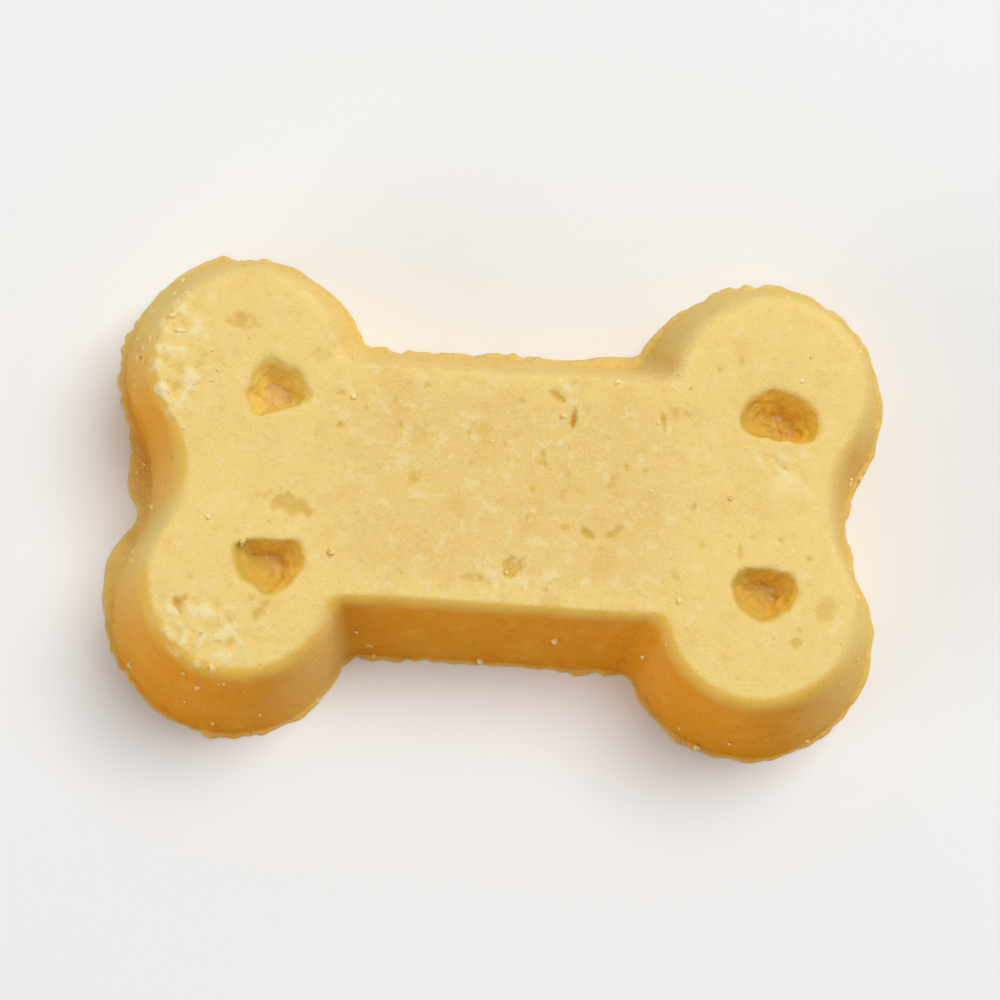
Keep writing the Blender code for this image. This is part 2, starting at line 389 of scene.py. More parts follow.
@dataclass(frozen=True)
class PinDent:
    """A tapered D-shaped dent left by a pin of the mould, with a soft mouth, a rough floor and painted
    shade on one side of its wall.
    """

    x: float
    y: float
    radius: float
    flat: float
    peak: float
    turn: float
    stretch: float = 1.0
    # The darker tone of the whole dent; it goes into the same field as the walls' painted side shade.
    browning_and_shade: float = 0.5
    # Painted shade on one side of the wall: how strong, which side, and how it sets in round the dent and
    # down its depth.
    painted_shade: float = 0.0
    shaded_side: Vector = Vector((-0.86, -0.51))
    shade_turn: tuple[float, float] = (0.0, 0.8)
    shade_onset: tuple[float, float] = (0.0, 0.1)
    depth: float = 1.7 * MM
    sides: int = 72
    corner_sharpness: float = 5.0
    peak_sharpness: int = 6
    soft_scale: float = 1.36
    raggedness: float = 0.10
    ragged_turns: float = 2.4
    soft_rim: tuple[tuple[float, float], ...] = (
        (1.28, 0.004),
        (1.20, 0.016),
        (1.12, 0.042),
        (1.06, 0.085),
        (1.01, 0.145),
    )
    wall_top: tuple[float, float] = (0.96, 0.22)
    wall_foot: tuple[float, float] = (0.52, 0.88)
    wall_steps: int = 9
    floor_rings: tuple[tuple[float, float], ...] = (
        (0.47, 0.945),
        (0.41, 0.985),
        (0.34, 1.0),
        (0.26, 1.0),
        (0.18, 1.0),
        (0.11, 1.0),
        (0.05, 1.0),
    )

    def reach(self, angle: float) -> float:
        """Works out how far the mouth is from the centre.

        Args:
            angle: Direction, counted from the line along the flat.

        Returns:
            The distance before the stretch.
        """
        rise = math.sin(angle)
        turns = self.ragged_turns
        around = Vector((turns * math.cos(angle), turns * rise, self.x / MM))
        ragged = 1 + self.raggedness * noise.noise(around)
        round_reach = self.radius * (1 + self.peak * max(0.0, rise) ** self.peak_sharpness)
        if rise >= 0:
            return round_reach * ragged
        flat_reach = self.flat / -rise
        power = self.corner_sharpness
        return ragged * (round_reach**-power + flat_reach**-power) ** (-1 / power)

    def ring(self, scale: float) -> list[Vector]:
        """Traces the mouth's outline, scaled about its centre.

        Args:
            scale: 1 for the mouth itself.

        Returns:
            The points in plan.
        """
        points = []
        spin = Matrix.Rotation(self.turn, 2)
        for step in range(self.sides):
            angle = 2 * math.pi * step / self.sides
            reach = scale * self.reach(angle)
            local = Vector((self.stretch * reach * math.cos(angle), reach * math.sin(angle)))
            points.append(Vector((self.x, self.y)) + spin @ local)
        return points

    def painted_shade_at(self, point: Vector, share: float) -> float:
        """Works out the painted shade on the dent's wall, most on its shaded side.

        Args:
            point: A point in plan.
            share: Its share of the depth.

        Returns:
            The painted shade, from 0 to 1.
        """
        outward = (point - Vector((self.x, self.y))).normalized()
        facing = smooth(*self.shade_turn, outward.dot(self.shaded_side))
        return self.painted_shade * facing * smooth(*self.shade_onset, share)

    def scale_at(self, point: Vector) -> float:
        """Finds the scaled outline of the mouth that passes through a point.

        Args:
            point: A point in plan.

        Returns:
            The scale, below 1 inside the mouth.
        """
        local = Matrix.Rotation(-self.turn, 2) @ (point - Vector((self.x, self.y)))
        local.x /= self.stretch
        return local.length / self.reach(math.atan2(local.y, local.x))

    def levels(self) -> list[tuple[float, float]]:
        """Lists the rings from just inside the soft rim to the centre.

        Returns:
            (scale, share of the depth) of each ring.
        """
        wall = []
        for step in range(self.wall_steps + 1):
            part = step / self.wall_steps
            scale, share = (
                top + (foot - top) * part for top, foot in zip(self.wall_top, self.wall_foot)
            )
            wall.append((scale, share))
        return [*self.soft_rim, *wall, *self.floor_rings]


@dataclass(frozen=True)
class Scar:
    """A small mark in the top, such as a pit, a scratch or a shallow scar. Sizes are in millimetres.

    The stain is how much darker it is; below 0 the mark is paler than the dough round it.
    """

    x: float
    y: float
    length: float
    width: float
    depth: float
    turn: float = 0.0
    stain: float = 0.6
    rough: float = 0.5
    amber: float = 0.0
    rough_wave: float = 0.38
    near_share: float = 0.8
    near_margin: float = 0.2
    soft_edge: float = 0.9

    def share_at(self, x: float, y: float) -> float:
        """Works out how fully the mark is pressed in.

        Args:
            x: Place along the bone, in millimetres.
            y: Place across it, in millimetres.

        Returns:
            The share, from 0 outside the mark to 1.
        """
        dx, dy = x - self.x, y - self.y
        if dx * dx + dy * dy > (self.near_share * self.length + self.near_margin) ** 2:
            return 0.0
        angle = math.radians(self.turn)
        along = (dx * math.cos(angle) + dy * math.sin(angle)) / (0.5 * self.length)
        across = (dy * math.cos(angle) - dx * math.sin(angle)) / (0.5 * self.width)
        uneven = self.rough * noise.noise(Vector((x, y, self.length)) / self.rough_wave)
        return smooth(0.0, self.soft_edge, 1.0 - along * along - across * across + uneven)


@dataclass(frozen=True)
class CrumblyPatch:
    """A place where the dough broke from the mould and left lumps. Sizes are in millimetres."""

    x: float
    y: float
    reach_x: float
    reach_y: float
    lump: float = 0.62
    height: float = 0.12
    small_share: float = 0.5
    small_lump: float = 0.45

    def lift_at(self, x: float, y: float, z: float) -> float:
        """Works out how far the lumps stand out.

        Args:
            x: Place along the bone, in millimetres.
            y: Place across it.
            z: Height.

        Returns:
            The lift in millimetres, below 0 in the gaps.
        """
        near = 1.0 - ((x - self.x) / self.reach_x) ** 2 - ((y - self.y) / self.reach_y) ** 2
        if near <= 0:
            return 0.0
        place = Vector((x, y, z))
        small = noise.noise(place / (self.small_lump * self.lump))
        lumps = noise.noise(place / self.lump) + self.small_share * small
        return self.height * min(1.0, 2 * near) * lumps


@dataclass(frozen=True)
class Spot:
    """A point of the body in millimetres, with the point fields that its relief follows."""

    place: Vector
    flank: float
    dent: float
    under: float
    lip: float
    brown: float


def ripples(place: Vector, parts: Sequence[tuple[float, float]]) -> float:
    """The sum at a place of noises that are each given as a height and a wave."""
    return sum(height * noise.noise(place / wave) for height, wave in parts)


@dataclass
class Draft:
    """Points, faces and point fields of a mesh that is being built."""

    points: list[Vector] = field(default_factory=list)
    faces: list[tuple[int, ...]] = field(default_factory=list)
    fields: dict[Skin, dict[int, float]] = field(default_factory=lambda: {skin: {} for skin in Skin})

    def add(self, point: Vector, **marks: float) -> int:
        """Adds a point.

        Args:
            point: Its place.
            marks: Its field values, named as in Skin.

        Returns:
            Its number.
        """
        self.points.append(point)
        number = len(self.points) - 1
        for name, value in marks.items():
            self.fields[Skin[name.upper()]][number] = value
        return number

    def bridge(self, lower: Sequence[int], upper: Sequence[int]) -> None:
        """Joins two rings with quads.

        Args:
            lower: The numbers of one ring's points.
            upper: Those of the other, equally many.
        """
        count = len(lower)
        for index in range(count):
            after = (index + 1) % count
            self.faces.append((lower[index], lower[after], upper[after], upper[index]))

    def values(self, skin: Skin) -> np.ndarray:
        """Gathers one point field.

        Args:
            skin: The field.

        Returns:
            Its value at each point, 0 where it wasn't set.
        """
        array = np.zeros(len(self.points), np.float32)
        marks = self.fields[skin]
        if marks:
            array[list(marks)] = list(marks.values())
        return array

    def to_mesh(self, name: str) -> bpy.types.Mesh:
        """Turns the draft into a smooth-shaded mesh.

        Args:
            name: The mesh's name.

        Returns:
            The mesh.
        """
        mesh = bpy.data.meshes.new(name)
        mesh.from_pydata([tuple(point) for point in self.points], [], self.faces)
        mesh.update()
        mesh.shade_smooth()
        return mesh


def fill_between(
    draft: Draft,
    border: Sequence[int],
    holes: Sequence[Sequence[int]],
    inner: Iterable[tuple[Vector, dict[str, float]]],
    in_hole: Callable[[Vector], bool],
    height: Callable[[Vector], float],
    upwards: bool,
) -> None:
    """Fills a border with triangles over inner points, leaving the holes open.

    Args:
        draft: The mesh that is being built.
        border: Its outer ring of points.
        holes: Rings of points round what stays open.
        inner: Plan positions of the points between them, with their field values.
        in_hole: Tells whether a plan position lies in a hole.
        height: Height of the surface at a plan position.
        upwards: Whether the faces look up.
    """
    known = list(border) + [number for ring in holes for number in ring]
    extra = list(inner)
    edges, start = [], 0
    for ring in (border, *holes):
        edges += [(start + step, start + (step + 1) % len(ring)) for step in range(len(ring))]
        start += len(ring)
    plan = [draft.points[number].xy for number in known] + [point for point, _ in extra]
    scaled = [point / MM for point in plan]
    placed, _, triangles, sources, _, _ = geometry.delaunay_2d_cdt(scaled, edges, [], 1, 1e-6)
    numbers = []
    for point, source in zip(placed, sources):
        if source and source[0] < len(known):
            numbers.append(known[source[0]])
            continue
        place = point * MM
        marks = extra[source[0] - len(known)][1] if source else {}
        numbers.append(draft.add(Vector((place.x, place.y, height(place))), **marks))
    for triangle in triangles:
        middle = sum((placed[index] for index in triangle), Vector((0, 0))) / 3 * MM
        if not in_hole(middle):
            face = tuple(numbers[index] for index in triangle)
            draft.faces.append(face if upwards else face[::-1])


def plan_grid(half_x: float, half_y: float, spacing: float) -> Iterable[Vector]:
    """Lays a triangular grid over a rectangle round the origin.

    Args:
        half_x: Half of its length.
        half_y: Half of its width.
        spacing: Distance between points.

    Returns:
        The points, one after the other.
    """
    row_gap = spacing * math.sqrt(3) / 2
    rows, columns = int(half_y / row_gap) + 1, int(half_x / spacing) + 1
    for row in range(-rows, rows + 1):
        for column in range(-columns, columns + 1):
            yield Vector(((column + (row % 2) / 2) * spacing, row * row_gap))


def place_object(name: str, data: bpy.types.ID) -> bpy.types.Object:
    """Makes an object from its data and puts it in the scene.

    Args:
        name: The object's name.
        data: Its mesh, light or camera.

    Returns:
        The object.
    """
    made = bpy.data.objects.new(name, data)
    bpy.context.scene.collection.objects.link(made)
    return made


@dataclass
class BiscuitBody:
    """The whole biscuit as one fine closed mesh.

    The sizes of its ripples, pits, scrapes and pores are in millimetres, as those of its marks are.
    """

    thickness: float = 7.2 * MM
    edge_height: float = 1.4 * MM
    edge_lean: float = math.radians(13)
    flank_steps: int = 32
    edge_steps: int = 12
    top_spacing: float = 0.145 * MM
    under_spacing: float = 0.30 * MM
    lobe_crown: float = 0.16 * MM
    crown_rise: float = 1.6
    shaft_sag: float = 0.12 * MM
    lobe_span: tuple[float, float] = (5.5 * MM, 11.0 * MM)
    rim_span: tuple[float, float] = (0.1 * MM, 1.7 * MM)
    # Painted side shade of the walls: they are coloured deeper the more they face the front, and paler
    # where they face the right.
    painted_shade_side: Vector = Vector((-0.12, -0.99))
    painted_shade_turn: tuple[float, float] = (-0.6, 0.95)
    lit_side_paling: float = 0.5
    lit_side_turn: tuple[float, float] = (0.2, 0.9)
    waves: DoughWaves = DoughWaves()
    lip: Lip = Lip()
    outline: BoneOutline = BoneOutline(
        (
            Lobe(
                end=1,
                side=1,
                out_x=0.05 * MM,
                out_y=0.30 * MM,
                splay_x=0.0,
                splay_y=-0.10 * MM,
                swell=0.05 * MM,
            ),
            Lobe(
                end=-1,
                side=1,
                out_x=0.38 * MM,
                out_y=0.10 * MM,
                splay_x=-0.50 * MM,
                splay_y=-0.05 * MM,
                swell=0.0,
            ),
            Lobe(
                end=-1,
                side=-1,
                out_x=0.18 * MM,
                out_y=0.0,
                splay_x=-0.20 * MM,
                splay_y=0.18 * MM,
                swell=0.0,
            ),
            Lobe(
                end=1,
                side=-1,
                out_x=0.0,
                out_y=-0.15 * MM,
                splay_x=0.05 * MM,
                splay_y=-0.10 * MM,
                swell=0.10 * MM,
            ),
        )
    )
    foot: Section = Section(
        lobe_x=12.85 * MM,
        lobe_y=5.80 * MM,
        lobe_radius=5.88 * MM,
        waist=7.55 * MM,
        shoulder_radius=1.3 * MM,
        notch_radius=6.0 * MM,
        splay=1.0,
    )
    flank_top: Section = Section(
        lobe_x=12.85 * MM,
        lobe_y=5.50 * MM,
        lobe_radius=4.90 * MM,
        waist=6.15 * MM,
        shoulder_radius=1.1 * MM,
        notch_radius=5.6 * MM,
        splay=0.3,
    )
    crown: Section = Section(
        lobe_x=12.85 * MM,
        lobe_y=5.32 * MM,
        lobe_radius=4.18 * MM,
        waist=5.55 * MM,
        shoulder_radius=1.0 * MM,
        notch_radius=5.0 * MM,
        splay=0.0,
    )
    dents: tuple[PinDent, ...] = (
        PinDent(
            x=13.38 * MM,
            y=4.05 * MM,
            radius=1.62 * MM,
            flat=0.72 * MM,
            peak=0.0,
            turn=math.radians(-5),
            stretch=1.13,
            browning_and_shade=0.95,
            painted_shade=0.85,
        ),
        PinDent(
            x=-11.50 * MM,
            y=4.04 * MM,
            radius=1.40 * MM,
            flat=0.80 * MM,
            peak=0.18,
            turn=math.radians(18),
            stretch=1.09,
            browning_and_shade=0.10,
            painted_shade=0.25,
        ),
        PinDent(
            x=-11.49 * MM,
            y=-4.10 * MM,
            radius=1.50 * MM,
            flat=0.85 * MM,
            peak=0.10,
            turn=math.radians(184),
            stretch=1.13,
            browning_and_shade=0.70,
            painted_shade=0.90,
        ),
        PinDent(
            x=13.05 * MM,
            y=-4.14 * MM,
            radius=1.38 * MM,
            flat=0.90 * MM,
            peak=0.15,
            turn=math.radians(177),
            stretch=1.10,
            browning_and_shade=0.80,
            painted_shade=0.90,
        ),
    )
    # x, y, length, width, depth, turn, stain, rough, amber
    scars: tuple[Scar, ...] = (
        Scar(3.2, 3.8, 1.30, 0.42, 0.24, 84, 1.0, 0.7, 1.0),
        Scar(2.4, 4.8, 1.20, 0.46, 0.14, -28, 0.85, 1.0),
        Scar(7.6, 3.9, 1.15, 0.30, 0.12, 100, 0.85, 0.8),
        Scar(-10.7, -1.4, 2.70, 1.20, 0.13, -14, 0.62, 0.9, 0.4),
        Scar(-13.5, 7.6, 1.90, 1.00, 0.12, -8, 0.62, 0.8, 0.3),
        Scar(-15.8, -6.7, 1.05, 1.00, 0.20, 40, 0.95, 0.7, 0.6),
        Scar(-1.3, -4.5, 1.60, 0.55, 0.10, 2, 0.78, 1.0),
        Scar(0.6, -3.8, 1.40, 0.95, 0.15, 50, 0.85, 1.3),
        Scar(4.1, -1.9, 1.20, 0.44, 0.13, -38, 0.88, 0.9),
        Scar(5.5, -1.8, 1.10, 0.40, 0.12, 36, 0.86, 0.9),
        Scar(16.1, -5.1, 1.55, 1.15, 0.09, 70, 0.50, 0.4),
        Scar(14.7, -6.9, 0.80, 0.62, 0.11, 20, 0.66, 0.6),
        Scar(13.5, 2.1, 1.30, 0.30, 0.12, -42, 0.60, 0.8),
        Scar(-9.5, 6.1, 1.60, 0.90, 0.08, 4, 0.30, 0.5),
        Scar(-11.8, -6.8, 1.45, 0.62, 0.14, 62, 0.78, 0.9),
        Scar(-8.4, 4.3, 0.65, 0.28, 0.08, 10, 0.72, 0.7),
        Scar(-8.3, 2.7, 0.50, 0.30, 0.08, 30, 0.72, 0.7),
        Scar(11.7, -2.5, 0.95, 0.28, 0.09, 88, 0.62, 0.7),
        Scar(-4.4, 2.5, 1.50, 1.00, 0.04, 80, 0.38, 0.5),
        Scar(-1.2, 2.7, 1.80, 0.90, 0.04, 86, 0.40, 0.5),
        Scar(-4.6, 0.3, 1.10, 0.70, 0.05, 60, 0.42, 0.7),
        Scar(2.9, 0.4, 1.70, 0.70, 0.04, 84, 0.36, 0.6),
        Scar(6.6, 2.3, 1.10, 0.26, 0.05, 8, 0.25, 0.9),
        Scar(1.8, 1.7, 1.10, 0.28, 0.08, 100, 0.66, 1.0),
        Scar(5.3, 0.9, 0.50, 0.30, 0.07, 20, 0.66, 0.8),
        Scar(2.75, 5.3, 1.10, 0.40, -0.04, -40, -0.80, 0.9),
        Scar(2.70, 2.6, 0.90, 0.36, -0.03, 30, -0.70, 0.9),
        Scar(0.55, -4.7, 1.10, 0.60, -0.04, 20, -0.75, 1.1),
        Scar(13.9, 1.5, 1.70, 0.50, -0.05, -36, -0.80, 0.8),
        Scar(7.9, 3.4, 0.80, 0.30, -0.03, 95, -0.60, 0.8),
        Scar(16.6, -6.0, 1.30, 0.50, -0.02, 60, -0.50, 0.9),
    )
    # x, y, reach_x, reach_y, lump, height
    patches: tuple[CrumblyPatch, ...] = (
        CrumblyPatch(-16.7, 6.0, 2.0, 3.9),
        CrumblyPatch(-14.9, -8.1, 2.9, 2.2, 0.55, 0.10),
        CrumblyPatch(1.2, -4.2, 3.6, 1.2, 0.48, 0.06),
        CrumblyPatch(13.9, 1.9, 1.9, 1.2, 0.55, 0.05),
    )
    patch_end: float = 0.27
    patch_fade: float = 0.3
    pale_onset: tuple[float, float] = (0.0, 0.05)
    gap_shade_onset: tuple[float, float] = (0.02, 0.09)
    top_end: float = 0.05
    dent_start: float = 0.02
    rough_onset: tuple[float, float] = (0.0, 0.3)
    wall_onset: tuple[float, float] = (0.15, 0.4)
    skin_ripples: tuple[tuple[float, float], ...] = (
        (0.036, 2.3),
        (0.022, 0.95),
        (0.020, 0.42),
        (0.019, 0.24),
    )
    dent_ripples: tuple[tuple[float, float], ...] = ((0.10, 0.55), (0.06, 0.24))
    wall_ripple: tuple[float, float] = (0.016, 0.33)
    pit_onset: tuple[float, float] = (0.38, 0.54)
    pit_size: float = 0.50
    pit_depth: float = 0.05
    pit_stain: float = 0.20
    least_amber: float = 0.5
    scrape_least: float = 0.03
    scrape_depth: float = 0.06
    scrape_wave: float = 0.9
    lip_calm: float = 0.5
    edge_share: float = 0.32
    crown_fade: int = 4
    grid_margin: float = 6 * MM
    top_gap: float = 0.7
    dent_gap: float = 0.06
    under_gap: float = 0.2
    pore_count: int = 70
    pore_seed: int = 11
    pore_area: tuple[float, float] = (18.5, 10.5)
    pore_size: tuple[float, float] = (0.16, 0.40)
    pore_depth: tuple[float, float] = (0.03, 0.08)
    pore_stain: tuple[float, float] = (0.2, 0.7)
    pore_stretch: tuple[float, float] = (1.0, 2.0)
    pore_rough: float = 0.5
    pore_clearance: float = 1.4
    pore_inset: float = 0.3 * MM

    def top_height(self, place: Vector) -> float:
        """Works out the height of the top face.

        Args:
            place: A place in plan.

        Returns:
            The height, which is the thickness and the waves at the rounded edge.
        """
        within = [
            max(0.0, 1.0 - (place - lobe.centre(self.crown)).length / lobe.radius(self.crown))
            for lobe in self.outline.lobes
        ]
        rise = self.lobe_crown * math.sin(min(1.0, self.crown_rise * max(within)) * math.pi / 2)
        along = max(0.0, 1.0 - abs(place.x) / (self.crown.lobe_x - self.crown.lobe_radius))
        across = max(0.0, 1.0 - abs(place.y) / self.crown.waist)
        sag = self.shaft_sag * math.sin(along * math.pi / 2) * math.sin(across * math.pi / 2)
        return self.thickness + rise - sag + self.waves.at(place.x, place.y, self.thickness)

    def lobe_share(self, place: Vector) -> float:
        """1 on the lobes, 0 on the middle of the shaft."""
        return smooth(*self.lobe_span, abs(place.x))

    def side_shade_at(self, normal: Vector) -> float:
        """Painted side shade of a wall that faces one way: most in front, least at the rear and the
        right.
        """
        facing = smooth(*self.painted_shade_turn, normal.dot(self.painted_shade_side))
        return facing * (1.0 - self.lit_side_paling * smooth(*self.lit_side_turn, normal.x))

    def inside_by(self, section: Section, place: Vector) -> float:
        """Works out how far a place lies inside a section.

        Args:
            section: The level of the wall.
            place: The place in plan.

        Returns:
            The depth inside, below 0 where it is outside.
        """
        depths = [
            lobe.radius(section) - (place - lobe.centre(section)).length for lobe in self.outline.lobes
        ]
        if abs(place.x) < section.lobe_x:
            depths.append(section.waist - abs(place.y))
        return max(depths)

    def rim_share(self, place: Vector) -> float:
        """1 at the edge of the top face, 0 well inside it."""
        return 1.0 - smooth(*self.rim_span, self.inside_by(self.crown, place))

    def grid(self, spacing: float) -> Iterable[Vector]:
        """Points of a grid that covers the whole plan of the biscuit."""
        margin = self.grid_margin
        return plan_grid(self.foot.lobe_x + margin, self.foot.lobe_y + margin, spacing)

    def add_lip(self, draft: Draft) -> list[list[int]]:
        """Adds the rings of the lip.

        Args:
            draft: The mesh that is being built.

        Returns:
            The rings, from the underside to just above the foot.
        """
        foot = self.outline.trace(self.foot)
        normals = outward_normals(foot)
        sizes = [(self.lip.width_at(point), self.lip.thinning_at(point)) for point in foot]
        rings = []
        for out, rise in self.lip.profile:
            ring = []
            for point, normal, (width, thin) in zip(foot, normals, sizes):
                plan = point + normal * width * out
                place = Vector((plan.x, plan.y, rise * thin * self.lip.height))
                # The lip takes the painted side shade of the wall that it stands out from.
                share, brown = self.lobe_share(plan), self.side_shade_at(normal)
                marks = {"flank": 1.0, "lip": min(1.0, 2 * out), "lobe": share, "brown": brown}
                ring.append(draft.add(place, **marks))
            rings.append(ring)
        return rings

    def wall_levels(self) -> list[tuple[float, Section, float]]:
        """Lists the rings of the wall from the foot to the crown.

        Returns:
            (height, section, share of the way down) of each ring.
        """
        top = self.thickness - self.edge_height
        levels = []
        for step in range(self.flank_steps):
            rise = step / self.flank_steps
            height = self.lip.height + rise * (top - self.lip.height)
            down = 1.0 - (1.0 - self.edge_share) * rise
            levels.append((height, self.foot.towards(self.flank_top, rise), down))
        start = self.edge_lean
        for step in range(self.edge_steps + 1):
            turn = step / self.edge_steps
            angle = start + turn * (math.pi / 2 - start)
            inward = (math.cos(start) - math.cos(angle)) / math.cos(start)
            rise = (math.sin(angle) - math.sin(start)) / (1 - math.sin(start))
            section = self.flank_top.towards(self.crown, inward)
            levels.append((top + self.edge_height * rise, section, self.edge_share * (1 - turn)))
        return levels

    def add_wall(self, draft: Draft) -> list[list[int]]:
        """Adds the rings of the flank and of its rounded upper edge.

        Args:
            draft: The mesh that is being built.

        Returns:
            The rings, from the foot to the crown.
        """
        rings = []
        for height, section, down in self.wall_levels():
            points = self.outline.trace(section)
            lift = (height / self.thickness) ** self.crown_fade
            ring = []
            for point, normal in zip(points, outward_normals(points)):
                plan = point + normal * self.waves.at(point.x, point.y, height)
                level = height + lift * self.waves.at(point.x, point.y, self.thickness)
                place = Vector((plan.x, plan.y, level))
                # Painted side shade, by the way the wall faces.
                brown = self.side_shade_at(normal)
                marks = {"flank": down, "lobe": self.lobe_share(plan), "rim": 1.0, "brown": brown}
                ring.append(draft.add(place, **marks))
            rings.append(ring)
        return rings

    def add_dent(self, draft: Draft, dent: PinDent) -> list[int]:
        """Adds one dent.

        Args:
            draft: The mesh that is being built.
            dent: The dent.

        Returns:
            Its outer ring, which lies in the top face.
        """
        outer = [
            draft.add(Vector((point.x, point.y, self.top_height(point))), lobe=1.0)
            for point in dent.ring(dent.soft_scale)
        ]
        previous = outer
        marks = {"lobe": 1.0, "brown": dent.browning_and_shade}
        for scale, share in dent.levels():
            ring = []
            for point in dent.ring(scale):
                height = self.top_height(point) - share * dent.depth
                place = Vector((point.x, point.y, height))
                # Painted shade on one side of the dent's wall, kept in the stain field.
                stain = dent.painted_shade_at(point, share)
                ring.append(draft.add(place, dent=share, stain=stain, **marks))
            draft.bridge(previous, ring)
            previous = ring
        centre = Vector((dent.x, dent.y))
        height = self.top_height(centre) - dent.depth
        middle = draft.add(Vector((dent.x, dent.y, height)), dent=1.0, **marks)
        for index in range(len(previous)):
            draft.faces.append((previous[index], previous[(index + 1) % len(previous)], middle))
        return outer

    def add_top(self, draft: Draft, crown_ring: Sequence[int]) -> None:
        """Adds the dents and the top face round them.

        Args:
            draft: The mesh that is being built.
            crown_ring: The upper ring of the rounded edge.
        """
        holes = [self.add_dent(draft, dent) for dent in self.dents]
        grid = []
        for point in self.grid(self.top_spacing):
            if self.inside_by(self.crown, point) < self.top_gap * self.top_spacing:
                continue
            if all(dent.scale_at(point) > dent.soft_scale + self.dent_gap for dent in self.dents):
                grid.append((point, {"lobe": self.lobe_share(point), "rim": self.rim_share(point)}))

        def in_dent(place: Vector) -> bool:
            """Whether a plan position lies in one of the dents."""
            return any(dent.scale_at(place) < dent.soft_scale for dent in self.dents)

        fill_between(draft, crown_ring, holes, grid, in_dent, self.top_height, True)

    def add_underside(self, draft: Draft, foot_ring: Sequence[int]) -> None:
        """Adds the flat scraped underside.

        Args:
            draft: The mesh that is being built.
            foot_ring: The lower ring of the lip.
        """
        grid = [
            (point, {"under": 1.0, "lobe": self.lobe_share(point)})
            for point in self.grid(self.under_spacing)
            if self.inside_by(self.foot, point) > self.under_gap * self.under_spacing
        ]
        fill_between(draft, foot_ring, [], grid, lambda place: False, lambda place: 0.0, False)

    def pores(self) -> list[Scar]:
        """Scatters small round pits over the top.

        Returns:
            The pits, clear of the dents and of the edge.
        """
        draw = random.Random(self.pore_seed)
        half_x, half_y = self.pore_area
        found = []
        while len(found) < self.pore_count:
            place = Vector((draw.uniform(-half_x, half_x), draw.uniform(-half_y, half_y)))
            size = draw.uniform(*self.pore_size)
            depth = draw.uniform(*self.pore_depth)
            stain = draw.uniform(*self.pore_stain)
            turn = draw.uniform(0, 180)
            length = size * draw.uniform(*self.pore_stretch)
            clear = all(dent.scale_at(place * MM) > self.pore_clearance for dent in self.dents)
            if clear and self.inside_by(self.crown, place * MM) > self.pore_inset:
                rough = self.pore_rough
                found.append(Scar(place.x, place.y, length, size, depth, turn, stain, rough))
        return found

    def clumps_at(self, spot: Spot) -> float:
        """How far the lumps of the crumbly patches stand out at a spot, fading down the edge."""
        clumps = sum(patch.lift_at(*spot.place) for patch in self.patches)
        return clumps * (1.0 - smooth(self.patch_fade * self.patch_end, self.patch_end, spot.flank))

    def scars_at(self, spot: Spot, scars: Sequence[Scar]) -> tuple[float, dict[Skin, float]]:
        """Adds up the marks in the top at one spot.

        Args:
            spot: The spot, which lies in the top.
            scars: All the marks.

        Returns:
            How deep they press it in, and the point fields that colour it.
        """
        depth = stain = amber = pale = 0.0
        for scar in scars:
            share = scar.share_at(spot.place.x, spot.place.y)
            if share:
                depth += scar.depth * share
                stain = max(stain, scar.stain * share)
                amber = max(amber, scar.amber * share)
                pale = max(pale, -scar.stain * share)
        return depth, {Skin.STAIN: stain, Skin.AMBER: amber, Skin.PALE: pale}

    def wall_grain_at(self, spot: Spot) -> tuple[float, dict[Skin, float]]:
        """Works out the grain and the pits of the wall at one spot.

        Args:
            spot: The spot, which lies in the wall.

        Returns:
            How far it stands out, and the point fields that colour it.
        """
        cloud = noise.noise(spot.place / self.pit_size)
        pit = smooth(*self.pit_onset, cloud) * smooth(*self.wall_onset, spot.flank)
        lift = ripples(spot.place, (self.wall_ripple,)) - self.pit_depth * pit
        # Pits in the walls are amber at least halfway, more where the painted side shade is deep.
        amber = max(self.least_amber, spot.brown)
        return lift, {Skin.STAIN: self.pit_stain * pit, Skin.AMBER: amber}

    def scrape_at(self, spot: Spot, lift: float) -> float:
        """How far a spot of the underside is scraped in, given its lift by the ripples."""
        hollow = max(0.0, noise.noise(spot.place / self.scrape_wave))
        return min(0.0, lift - self.scrape_least - self.scrape_depth * hollow)

    def relief_at(self, spot: Spot, scars: Sequence[Scar]) -> tuple[float, dict[Skin, float]]:
        """Works out the fine relief at one spot.

        Args:
            spot: The spot of the body.
            scars: All the marks in the top.

        Returns:
            How far the spot stands out in millimetres, and the point fields that colour it.
        """
        lift = ripples(spot.place, self.skin_ripples)
        shades = {Skin.PALE: 0.0}
        if spot.dent > self.dent_start:
            lift += smooth(*self.rough_onset, spot.dent) * ripples(spot.place, self.dent_ripples)
        if spot.under:
            return self.scrape_at(spot, lift), shades
        if spot.flank < self.patch_end:
            clumps = self.clumps_at(spot)
            lift += clumps
            shades[Skin.PALE] = smooth(*self.pale_onset, clumps)
            # Painted shade where the lumps dip below the surface.
            shades[Skin.GAP] = smooth(*self.gap_shade_onset, -clumps)
        if spot.flank < self.top_end and spot.dent < self.dent_start:
            depth, marks = self.scars_at(spot, scars)
            lift -= depth
            marks[Skin.PALE] = max(marks[Skin.PALE], shades[Skin.PALE])
            shades.update(marks)
        if spot.flank > self.wall_onset[0] and not spot.lip:
            grain, marks = self.wall_grain_at(spot)
            lift += grain
            shades.update(marks)
        return lift * (self.lip_calm if spot.lip else 1.0), shades

